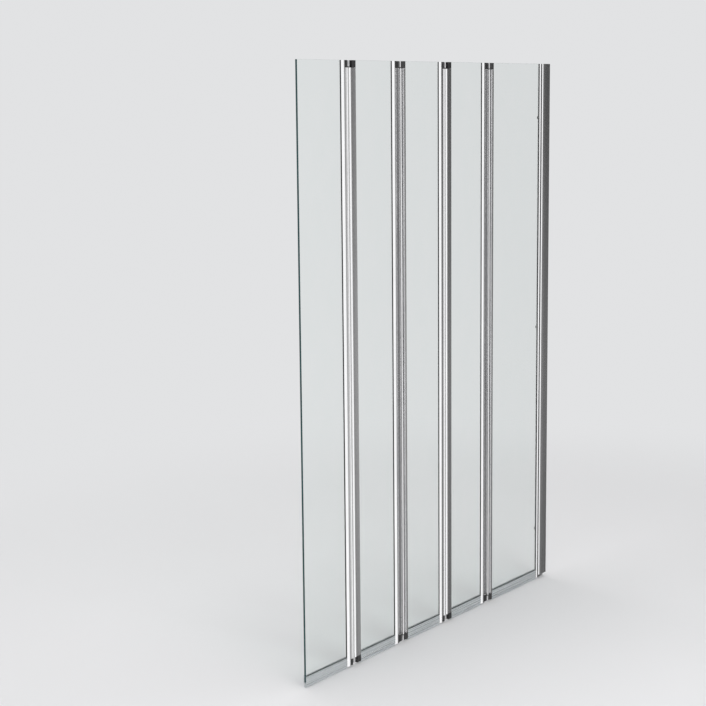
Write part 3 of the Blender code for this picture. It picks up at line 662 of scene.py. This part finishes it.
def gasket_outline(seat, arm_end, lip_end):
    """A U round the glass edge at seat, whose arms thin out to lips that fill the groove's mouth."""
    toward = math.copysign(1, lip_end - seat)
    back = seat - toward * GASKET_BASE
    inner = GLASS_HALF + LIP_CLEARANCE
    outer = CAVITY_HALF - LIP_CLEARANCE
    lip = MOUTH_HALF - LIP_CLEARANCE
    half = [(seat, inner), (lip_end, inner), (lip_end, lip), (arm_end, lip)]
    half += [(arm_end, outer), (back, outer)]
    return flipped(half) + half


def block_outline():
    """The pivot block's body. Its flanks draw back so that the rod stands free beside it."""
    left = -LONG_CHANNEL_END - NOTCH_CUT_IN + FIT_GAP
    heel = left + BLOCK_HEEL_WIDTH
    face = NYLON_FACE
    points = [(left, -face), (heel, -face), (heel, -ROD_OFFSET)]
    points += [(-BLOCK_TIP, -ROD_OFFSET), (-BLOCK_FLANK_START, face), (left, face)]
    return points


def eye_outlines():
    """The thin foot of the pivot block, with the eye that the rod turns in."""
    left = -LONG_CHANNEL_END - NOTCH_CUT_IN + FIT_GAP + BLOCK_INSET
    heel = left + BLOCK_HEEL_WIDTH - 2 * BLOCK_INSET
    face = NYLON_FACE - BLOCK_INSET
    arm = math.degrees(math.asin(EYE_ARM_DROP / EYE_RADIUS))
    outline = [(left, -face), (heel, -face), (heel, -ROD_OFFSET - EYE_ARM_DROP)]
    outline += arc(ROD_CENTRE, EYE_RADIUS, 180 + arm, 360 + EYE_LEAVING_ANGLE, 2 * ARC_STEPS)
    outline += [(-BLOCK_FLANK_START - BLOCK_INSET, face), (left, face)]
    return [outline, circle(ROD_CENTRE, PIVOT_BORE)]


def plug_outline():
    """The end plug, which fills the end of the short profile and takes the glass in a slot."""
    slot = GLASS_HALF + FIT_GAP
    face = NYLON_FACE
    slot_end = SHORT_GLASS_EDGE - FIT_GAP
    points = [(PLUG_START, face), (PLUG_START, -ROD_OFFSET), (SHORT_CHANNEL_START, -face)]
    points += [(SHORT_REACH, -face), (SHORT_REACH, -slot), (slot_end, -slot)]
    points += [(slot_end, slot), (SHORT_REACH, slot), (SHORT_REACH, face)]
    return points


def channel_outline(low, high, jamb_half):
    """The wall channel: a back on the wall, and two flanks that fall away a little to lips at the mouth."""
    half_width = high.y
    inside_half = half_width - CHANNEL_WALL
    mouth_half = jamb_half + CHANNEL_MOUTH_SHARE * (inside_half - jamb_half)
    lean = 2 * math.atan(CHANNEL_FALL / CHANNEL_FALL_LENGTH)
    fall_radius = CHANNEL_FALL_LENGTH / math.sin(lean)
    inner_radius = CHANNEL_LIP_RADIUS - CHANNEL_WALL
    lip_y = half_width - CHANNEL_FALL - CHANNEL_LIP_RADIUS * math.cos(lean)
    lip = math.asin((mouth_half - lip_y) / CHANNEL_LIP_RADIUS)
    inner_lip = math.asin((mouth_half - lip_y) / inner_radius)
    lip_centre = (low.x + CHANNEL_LIP_RADIUS * math.cos(lip), lip_y)
    crown_x = lip_centre[0] - CHANNEL_LIP_RADIUS * math.sin(lean) + CHANNEL_FALL_LENGTH
    fall_centre = (crown_x, half_width - fall_radius)
    turned = 90 + math.degrees(lean)
    half = arc(lip_centre, CHANNEL_LIP_RADIUS, 180 - math.degrees(lip), turned)
    half += arc(fall_centre, fall_radius, turned, 90)[1:] + [(high.x, half_width)]
    inside = [(high.x - CHANNEL_WALL, inside_half)]
    inside += arc(fall_centre, fall_radius - CHANNEL_WALL, 90, turned)
    inside += arc(lip_centre, inner_radius, turned, 180 - math.degrees(inner_lip))[1:]
    return half + flipped(half) + flipped(inside) + inside


def jamb_outline(reach, back):
    """The adjusting jamb: a round-nosed glazing channel whose flanged legs slide in the wall channel."""
    nose = (-reach + PROFILE_HALF, 0)
    floor = -reach + JAMB_GLASS_DEPTH
    flange_start = -back - JAMB_FLANGE_THICKNESS
    flange_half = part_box("adjusting_jamb")[1].y
    half = nose_side(nose, 1)
    half += [(flange_start, PROFILE_HALF), (flange_start, flange_half), (-back, flange_half)]
    half += [(-back, CAVITY_HALF), (floor + PROFILE_WALL, CAVITY_HALF)]
    inside = [(floor, CAVITY_HALF)] + nose_inside(nose, 1)
    return half + flipped(half) + flipped(inside) + inside


def seal_outlines():
    """The bottom seal across its length: a grip on the glass, two short fins and a hollow bulb."""
    inner = GLASS_HALF + LIP_CLEARANCE
    outer = GLASS_HALF + FIT_GAP + SEAL_WALL
    seat = GLASS_FOOT - FIT_GAP
    base = seat - SEAL_FLOOR
    bulb = (0, SEAL_BULB_RADIUS)
    shoulder = math.degrees(math.acos(SEAL_WALL / SEAL_BULB_RADIUS))
    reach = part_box("bottom_seal_1")[1].y
    fin_tip = base - (reach - outer)
    half = [(inner, SEAL_TOP), (outer - SEAL_LIP_TAPER, SEAL_TOP)]
    half += [(outer, SEAL_TOP - SEAL_LIP_HEIGHT), (outer, base)]
    half += [(reach, fin_tip), (reach - SEAL_FIN_THICKNESS, fin_tip)]
    half += [(outer - SEAL_FIN_THICKNESS, base - SEAL_FIN_THICKNESS)]
    half += [(SEAL_WALL, base - SEAL_FIN_THICKNESS)]
    half += arc(bulb, SEAL_BULB_RADIUS, shoulder, -90, 2 * ARC_STEPS)
    other = [(-x, z) for x, z in reversed(half[:-1])]
    outline = half + other + [(-inner, seat), (inner, seat)]
    return [outline, circle(bulb, SEAL_BULB_RADIUS - SEAL_BULB_WALL, BORE_STEPS)]


def hinge_place(number):
    """(x of the rod, side), side being +1 where the hinge folds towards the room."""
    low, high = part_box(f"hinge_{number}_rod")
    return (low.x + high.x) / 2, 1 if low.y + high.y < 0 else -1


def placed(outlines, number):
    """Outlines drawn round the rod, turned to their hinge's side and moved to its place."""
    x, side = hinge_place(number)
    return [moved(mirrored(points, side), x) for points in outlines]


def add_glass(number, looks):
    """A pane with rounded arrises. Its edges have a material of their own, whose dark green is painted
    shade.
    """
    node = f"glass_panel_{number}"
    low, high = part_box(node)
    corners = [(low.x, high.y), (low.x, low.y), (high.x, low.y), (high.x, high.y)]
    outline = []
    for i, corner in enumerate(corners):
        outline += soft_corner(corners[i - 1], corner, corners[(i + 1) % len(corners)], GLASS_ARRIS)
    mesh = simplified(extruded(f"{node}_pane", [outline], low.z, high.z))
    add_piece(mesh.name, mesh, [node], looks["glass"], GLASS_ARRIS, ARRIS_STEPS)
    mesh.materials.append(looks["glass_edge"])
    for face in mesh.polygons:
        face.material_index = 0 if abs(face.normal.y) > PANE_FACE_SHARE else 1


def add_seal(number, looks):
    """The seal under a pane, drawn standing and laid down along X. Its lip has a material of its own,
    painted dark as shade along the seal's top edge.
    """
    node = f"bottom_seal_{number}"
    low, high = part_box(node)
    mesh = simplified(extruded(f"{node}_strip", seal_outlines(), low.x, high.x))
    lay_down = Matrix(((0, 0, 1, 0), (1, 0, 0, 0), (0, 1, 0, RIM_Z), (0, 0, 0, 1)))
    mesh.transform(lay_down)
    add_piece(mesh.name, mesh, [node], looks["vinyl"], VINYL_EDGE)
    mesh.materials.append(looks["vinyl_lip"])
    lip_start = RIM_Z + SEAL_TOP - SEAL_LIP_HEIGHT
    for face in mesh.polygons:
        on_side = abs(face.normal.x) < SEAL_END_SHARE
        face.material_index = 1 if face.center.z > lip_start and on_side else 0


def add_long_profile(number, looks):
    """The profile on a panel's right edge, its web cut back at both ends for the nylon blocks."""
    node = f"hinge_{number}_long_profile"
    low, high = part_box(node)
    x, _ = hinge_place(number)
    mesh = extruded(f"{node}_bar", placed(long_profile_outlines(), number), low.z, high.z)
    notch = BLOCK_HEIGHT + FIT_GAP
    left = x - LONG_CHANNEL_END - NOTCH_CUT_IN
    right = x - LONG_RIB_END + CUT_OVERRUN
    reach = PROFILE_HALF + RIB_RISE + CUT_OVERRUN
    cuts = [
        box_mesh("notch", (left, -reach, start), (right, reach, start + notch + CUT_OVERRUN))
        for start in (high.z - notch, low.z - CUT_OVERRUN)
    ]
    mesh = simplified(combined(mesh, cuts, "DIFFERENCE"))
    add_piece(f"{node}_bar", mesh, [node], looks["aluminium"], METAL_EDGE)


def add_short_profile(number, looks):
    """The profile on a panel's left edge, at full length."""
    node = f"hinge_{number}_short_profile"
    low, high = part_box(node)
    outlines = placed(short_profile_outlines(), number)
    mesh = simplified(extruded(f"{node}_bar", outlines, low.z, high.z))
    add_piece(mesh.name, mesh, [node], looks["aluminium"], METAL_EDGE)


def add_rod(number, looks):
    """The hinge rod, with its ends turned to a small round."""
    node = f"hinge_{number}_rod"
    low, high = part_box(node)
    round_end = ROD_RADIUS * ROD_END_SHARE
    inner = ROD_RADIUS - round_end
    length = high.z - low.z
    profile = [(0, 0)] + arc((inner, round_end), round_end, -90, 0, CORNER_STEPS)
    profile += arc((inner, length - round_end), round_end, 0, 90, CORNER_STEPS) + [(0, length)]
    place = Matrix.Translation(((low.x + high.x) / 2, (low.y + high.y) / 2, low.z))
    mesh = turned_mesh(f"{node}_bar", profile, place)
    add_piece(mesh.name, mesh, [node], looks["steel"])


def add_nylon(name, number, node, outline, port, at_top, foot, looks):
    """A nylon end piece: its body, a spigot in the profile's screw port and any thin foot with an eye."""
    low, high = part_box(node)
    x, side = hinge_place(number)
    bottom = high.z - BLOCK_HEIGHT if at_top else low.z
    start = bottom + (UNION_OVERLAP if foot and at_top else 0)
    end = bottom + BLOCK_HEIGHT - (UNION_OVERLAP if foot and not at_top else 0)
    body = extruded(name, placed([outline], number), start, end)
    seat = bottom if at_top else bottom + BLOCK_HEIGHT
    away = -1 if at_top else 1
    spigot_start = (x + port[0], side * port[1], seat - away * EYE_THICKNESS / 2)
    length = SPIGOT_LENGTH + EYE_THICKNESS / 2
    parts = [bar_mesh("spigot", PORT_BORE - FIT_GAP, spigot_start, (0, 0, away), length)]
    if foot:
        foot_z = bottom if at_top else seat - EYE_THICKNESS
        parts.append(extruded("foot", placed(eye_outlines(), number), foot_z, foot_z + EYE_THICKNESS))
    mesh = simplified(combined(body, parts, "UNION"))
    add_piece(name, mesh, [node], looks["nylon"], NYLON_EDGE, NYLON_EDGE_STEPS)


def add_end_pieces(number, looks):
    for end, at_top in (("top", True), ("bottom", False)):
        node = f"hinge_{number}_{end}_pivot_block"
        add_nylon(f"{node}_moulding", number, node, block_outline(), LONG_PORT, at_top, True, looks)
        node = f"hinge_{number}_{end}_end_plug"
        add_nylon(f"{node}_moulding", number, node, plug_outline(), SHORT_PORT, at_top, False, looks)


def add_gasket(node, outline, looks):
    """A glazing gasket of the length that its node has."""
    low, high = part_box(node)
    mesh = simplified(extruded(f"{node}_strip", [outline], low.z, high.z))
    add_piece(mesh.name, mesh, [node], looks["rubber"], RUBBER_EDGE)


def nose_lip(reach):
    """Where a rubber lip ends in front of a nose's mouth."""
    return -reach + MOUTH_SET_BACK - LIP_PROUD


def add_gaskets(number, looks):
    x, _ = hinge_place(number)
    long_outline = gasket_outline(
        LONG_GLASS_EDGE + FIT_GAP, -LONG_REACH + PROFILE_HALF, nose_lip(LONG_REACH)
    )
    add_gasket(f"long_profile_gasket_{number}", moved(long_outline, x), looks)
    short_outline = gasket_outline(
        SHORT_GLASS_EDGE - FIT_GAP, SHORT_REACH - SHORT_LIP - FIT_GAP, SHORT_REACH + LIP_PROUD
    )
    add_gasket(f"short_profile_gasket_{number}", moved(short_outline, x), looks)


def add_wall_channel(looks):
    """The channel on the wall, with its holes for the wall screws and the locking screws."""
    node = "wall_channel"
    low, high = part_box(node)
    mesh = extruded(f"{node}_bar", [channel_outline(low, high, PROFILE_HALF)], low.z, high.z)
    reach = CHANNEL_WALL + 2 * CUT_OVERRUN
    back = high.x - CHANNEL_WALL - CUT_OVERRUN
    cuts = []
    for share in WALL_HOLE_SHARES:
        place = (back, 0, RIM_Z + share * SCREEN_HEIGHT)
        cuts.append(bar_mesh("wall_hole", WALL_HOLE_RADIUS, place, (1, 0, 0), reach))
    for index in range(1, LOCKING_SCREWS + 1):
        screw_low, screw_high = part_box(f"locking_screw_{index}")
        middle = (screw_low + screw_high) / 2
        place = (middle.x, high.y - CHANNEL_WALL - CUT_OVERRUN, middle.z)
        cuts.append(bar_mesh("lock_hole", LOCK_HOLE_RADIUS, place, (0, 1, 0), reach))
    mesh = simplified(combined(mesh, cuts, "DIFFERENCE"))
    add_piece(f"{node}_bar", mesh, [node], looks["aluminium"], METAL_EDGE)


def add_jamb(looks):
    """The adjusting jamb and its gasket, which hold the fixed pane."""
    node = "adjusting_jamb"
    low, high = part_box(node)
    reach = -low.x + MOUTH_SET_BACK
    mesh = simplified(extruded(f"{node}_bar", [jamb_outline(reach, -high.x)], low.z, high.z))
    add_piece(mesh.name, mesh, [node], looks["aluminium"], METAL_EDGE)
    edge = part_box("glass_panel_5")[1].x + FIT_GAP
    outline = gasket_outline(edge, -reach + PROFILE_HALF, nose_lip(reach))
    add_gasket("jamb_gasket", outline, looks)


def add_cap(index, looks):
    """The snap-on cover of a locking screw: a domed disc with a soft rim, hollow below."""
    node = f"screw_cap_{index}"
    low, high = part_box(node)
    radius = (high.x - low.x) / 2
    height = high.y - low.y
    crown = (radius - CAP_EDGE_RADIUS, height - CAP_EDGE_RADIUS)
    profile = [(0, height)] + arc(crown, CAP_EDGE_RADIUS, 90, 0, CORNER_STEPS)
    profile += [(radius, 0), (radius - CAP_WALL, 0)]
    profile += [(radius - CAP_WALL, height - CAP_WALL), (0, height - CAP_WALL)]
    middle = (low + high) / 2
    place = Matrix.Translation((middle.x, low.y, middle.z)) @ Matrix.Rotation(-math.pi / 2, 4, "X")
    mesh = turned_mesh(f"{node}_moulding", profile, place)
    add_piece(mesh.name, mesh, [node], looks["nylon"])


def dress_screws(looks):
    """The locking screws keep their CAD shape and get the steel finish."""
    for index in range(1, LOCKING_SCREWS + 1):
        mesh = frame["nodes"][f"locking_screw_{index}"].data
        mesh.materials.clear()
        mesh.materials.append(looks["steel"])


def add_screen():
    """Every piece of the screen, from the wall to the free edge."""
    looks = {
        "aluminium": aluminium_material(),
        "steel": steel_material(),
        "glass": glass_material(),
        "glass_edge": glass_edge_material(),
        "nylon": nylon_material(),
        "vinyl": vinyl_material(),
        "vinyl_lip": vinyl_lip_material(),
        "rubber": rubber_material(),
    }
    add_wall_channel(looks)
    add_jamb(looks)
    dress_screws(looks)
    for index in range(1, LOCKING_SCREWS + 1):
        add_cap(index, looks)
    for number in range(1, PANELS + 1):
        add_glass(number, looks)
        add_seal(number, looks)
    for number in range(1, HINGES + 1):
        add_long_profile(number, looks)
        add_short_profile(number, looks)
        add_rod(number, looks)
        add_end_pieces(number, looks)
        add_gaskets(number, looks)


# The stage: a pale floor that runs out into a pale surround, soft lamps, and a ring for the metal to show
PALE = (0.76, 0.765, 0.775)
FLOOR_COLOUR = (0.80, 0.80, 0.81)
SURROUND_LIGHT = 0.50
FLOOR_SIZE = 60.0
FLOOR_DROP = 0.0006
FADE_START = 0.9
FADE_END = 2.6
LAMP_DISTANCE = 3.6
TOP_LAMP_Z = 3.2
TOP_LAMP_SIZE = 2.4
TOP_LAMP_RADIANCE = 2.6
RING_DISTANCE = 4.4
RING_TOP = 3.0
RING_SHOULDER = 0.7
RING_MIDDLE = -0.8
RING_FOOT = -3.2

# Lamps round the stage, as (name, azimuth, height of the middle, width, height, radiance)
LAMPS_ROUND = (
    ("Key", -112, 0.9, 2.2, 2.0, 4.5),
    ("Side", 160, 0.8, 1.2, 2.6, 2.0),
    ("Back", 75, 0.9, 1.6, 2.4, 1.6),
)

# What polished metal sees all round, as (azimuth, tone half way up, tone above and below)
RING_TONES = (
    (-8, 0.46, 0.46),
    (-16, 0.24, 0.20),
    (-22, 0.13, 0.08),
    (-27, 0.15, 0.08),
    (-31, 0.17, 0.08),
    (-34, 0.21, 0.10),
    (-37, 0.25, 0.12),
    (-40, 0.36, 0.21),
    (-44, 0.52, 0.42),
    (-50, 1.15, 1.15),
    (-66, 1.15, 1.15),
    (-82, 1.15, 1.15),
    (-98, 1.15, 1.15),
    (-108, 1.10, 1.10),
    (-117, 0.50, 0.50),
    (-128, 0.24, 0.24),
    (-140, 0.22, 0.22),
    (-152, 0.22, 0.22),
    (-172, 0.40, 0.40),
    (-188, 0.76, 0.76),
    (-208, 0.76, 0.76),
    (-230, 0.76, 0.76),
    (-238, 0.30, 0.22),
    (-252, 0.14, 0.12),
    (-266, 0.30, 0.22),
    (-274, 0.76, 0.76),
    (-292, 0.76, 0.76),
    (-310, 0.76, 0.76),
    (-318, 0.20, 0.14),
    (-328, 0.14, 0.12),
    (-338, 0.24, 0.24),
    (-350, 0.50, 0.50),
    (-368, 0.46, 0.46),
)


def pale_ray(tree):
    """1 for rays that the camera, metal or glass sends, which see the pale surround as it is."""
    path = tree.nodes.new("ShaderNodeLightPath")
    total = path.outputs["Is Camera Ray"]
    for name in ("Is Glossy Ray", "Is Transmission Ray"):
        join = tree.nodes.new("ShaderNodeMath")
        join.operation = "MAXIMUM"
        tree.links.new(total, join.inputs[0])
        tree.links.new(path.outputs[name], join.inputs[1])
        total = join.outputs[0]
    return total


def set_world():
    """A soft even light from all round, seen as the pale surround."""
    world = bpy.data.worlds.new("Surround")
    bpy.context.scene.world = world
    world.use_nodes = True
    tree = world.node_tree
    light = tree.nodes["Background"]
    light.inputs["Color"].default_value = (1, 1, 1, 1)
    light.inputs["Strength"].default_value = SURROUND_LIGHT
    seen = tree.nodes.new("ShaderNodeBackground")
    seen.inputs["Color"].default_value = (*PALE, 1)
    mix = tree.nodes.new("ShaderNodeMixShader")
    tree.links.new(pale_ray(tree), mix.inputs["Fac"])
    tree.links.new(light.outputs["Background"], mix.inputs[1])
    tree.links.new(seen.outputs["Background"], mix.inputs[2])
    tree.links.new(mix.outputs["Shader"], tree.nodes["World Output"].inputs["Surface"])


def floor_material():
    """Pale matt floor round the object. Farther out it fades into the surround."""
    material = bpy.data.materials.new("Floor")
    material.use_nodes = True
    tree = material.node_tree
    tree.nodes.remove(tree.nodes["Principled BSDF"])
    matt = tree.nodes.new("ShaderNodeBsdfDiffuse")
    matt.inputs["Color"].default_value = (*FLOOR_COLOUR, 1)
    place = tree.nodes.new("ShaderNodeTexCoord").outputs["Object"]
    length = tree.nodes.new("ShaderNodeVectorMath")
    length.operation = "LENGTH"
    tree.links.new(place, length.inputs[0])
    fade = tree.nodes.new("ShaderNodeMapRange")
    fade.interpolation_type = "SMOOTHSTEP"
    fade.inputs["From Min"].default_value = FADE_START
    fade.inputs["From Max"].default_value = FADE_END
    tree.links.new(length.outputs["Value"], fade.inputs["Value"])
    both = tree.nodes.new("ShaderNodeMath")
    both.operation = "MULTIPLY"
    tree.links.new(fade.outputs["Result"], both.inputs[0])
    tree.links.new(pale_ray(tree), both.inputs[1])
    glow = tree.nodes.new("ShaderNodeEmission")
    glow.inputs["Color"].default_value = (*PALE, 1)
    mix = tree.nodes.new("ShaderNodeMixShader")
    tree.links.new(both.outputs[0], mix.inputs["Fac"])
    tree.links.new(matt.outputs["BSDF"], mix.inputs[1])
    tree.links.new(glow.outputs["Emission"], mix.inputs[2])
    tree.links.new(mix.outputs["Shader"], tree.nodes["Material Output"].inputs["Surface"])
    return material


def add_floor():
    """The floor just below the seals."""
    half = FLOOR_SIZE / 2
    mesh = box_mesh("Floor", (-half, -half, -FLOOR_DROP), (half, half, 0))
    floor = bpy.data.objects.new("Floor", mesh)
    bpy.context.scene.collection.objects.link(floor)
    middle = (Vector(cad_box[0]) + Vector(cad_box[1])) / 2
    floor.location = (middle.x, middle.y, RIM_Z - FLOOR_DROP)
    mesh.materials.append(floor_material())
    floor.visible_glossy = False


def polar(azimuth, distance, z):
    """A point at an azimuth from the middle of the screen, 0 being +X and 90 being +Y."""
    middle = (cad_box[0][0] + cad_box[1][0]) / 2
    turn = math.radians(azimuth)
    return Vector((middle + distance * math.cos(turn), distance * math.sin(turn), z))


def add_lamp(name, place, target, width, height, radiance):
    """A soft rectangular lamp that lights surfaces but doesn't show in gloss or through glass."""
    lamp = bpy.data.lights.new(name, "AREA")
    lamp.shape = "RECTANGLE"
    lamp.size = width
    lamp.size_y = height
    lamp.energy = radiance * math.pi * width * height
    obj = bpy.data.objects.new(name, lamp)
    bpy.context.scene.collection.objects.link(obj)
    obj.location = place
    obj.rotation_euler = (target - place).to_track_quat("-Z", "Y").to_euler()
    obj.visible_camera = False
    obj.visible_glossy = False
    obj.visible_transmission = False


def add_lights():
    """The lamps round the stage and one above, all turned to the middle of the screen."""
    middle = polar(0, 0, 0)
    for name, azimuth, z, width, height, radiance in LAMPS_ROUND:
        add_lamp(name, polar(azimuth, LAMP_DISTANCE, z), middle, width, height, radiance)
    above = Vector((middle.x, middle.y, TOP_LAMP_Z))
    add_lamp("Top", above, middle, TOP_LAMP_SIZE, TOP_LAMP_SIZE, TOP_LAMP_RADIANCE)


def ring_material():
    """The ring glows with the tone of its own points."""
    material = bpy.data.materials.new("Ring")
    material.use_nodes = True
    tree = material.node_tree
    tone = tree.nodes.new("ShaderNodeAttribute")
    tone.attribute_name = "tone"
    glow = tree.nodes.new("ShaderNodeEmission")
    tree.links.new(tone.outputs["Color"], glow.inputs["Color"])
    tree.links.new(glow.outputs["Emission"], tree.nodes["Material Output"].inputs["Surface"])
    return material


def add_ring():
    """A ring of soft card round the stage that only metal and other gloss can show."""
    shape = bmesh.new()
    layer = shape.verts.layers.float_color.new("tone")
    rows = []
    for z in (RING_FOOT, RING_MIDDLE, RING_SHOULDER, RING_TOP):
        row = []
        for azimuth, middle_tone, outer_tone in RING_TONES:
            vertex = shape.verts.new(polar(azimuth, RING_DISTANCE, z))
            tone = middle_tone if z == RING_MIDDLE else outer_tone
            vertex[layer] = (tone, tone, tone, 1)
            row.append(vertex)
        rows.append(row)
    for low, high in zip(rows, rows[1:]):
        for i in range(len(low) - 1):
            shape.faces.new((low[i], low[i + 1], high[i + 1], high[i]))
    mesh = finished(shape, "Ring")
    mesh.materials.append(ring_material())
    ring = bpy.data.objects.new("Ring", mesh)
    bpy.context.scene.collection.objects.link(ring)
    ring.visible_camera = False
    ring.visible_diffuse = False
    ring.visible_transmission = False
    ring.visible_shadow = False
    ring.visible_volume_scatter = False


# The camera sees the screen from the photograph's side and in its place in the picture. The photograph was
# taken level, with a large shift. This camera looks down a little instead and has a small shift, so that the
# views from other sides hold the whole screen. Yaw turns from +X to +Y, and a pitch below 0 looks down.
CAMERA_PLACE = Vector((-3.7193, -2.1751, 0.6206))
CAMERA_YAW = math.radians(37.250)
CAMERA_PITCH = math.radians(-8.658)
CAMERA_ROLL = math.radians(-0.560)
CAMERA_LENS = 81.24
CAMERA_SENSOR = 36.0
CAMERA_SHIFT_Y = -0.02


def add_camera():
    """The camera at its place, turned by its yaw, pitch and roll."""
    forward = Vector(
        (
            math.cos(CAMERA_YAW) * math.cos(CAMERA_PITCH),
            math.sin(CAMERA_YAW) * math.cos(CAMERA_PITCH),
            math.sin(CAMERA_PITCH),
        )
    )
    level = Vector((math.sin(CAMERA_YAW), -math.cos(CAMERA_YAW), 0))
    upright = level.cross(forward)
    right = math.cos(CAMERA_ROLL) * level + math.sin(CAMERA_ROLL) * upright
    up = -math.sin(CAMERA_ROLL) * level + math.cos(CAMERA_ROLL) * upright
    camera = bpy.data.cameras.new("Camera")
    camera.lens = CAMERA_LENS
    camera.sensor_width = CAMERA_SENSOR
    camera.shift_y = CAMERA_SHIFT_Y
    obj = bpy.data.objects.new("Camera", camera)
    bpy.context.scene.collection.objects.link(obj)
    turn = Matrix((right, up, -forward)).transposed().to_4x4()
    obj.matrix_world = Matrix.Translation(CAMERA_PLACE) @ turn
    bpy.context.scene.camera = obj


bpy.context.scene.view_settings.view_transform = "Standard"
add_camera()
add_screen()
set_world()
add_floor()
add_lights()
add_ring()
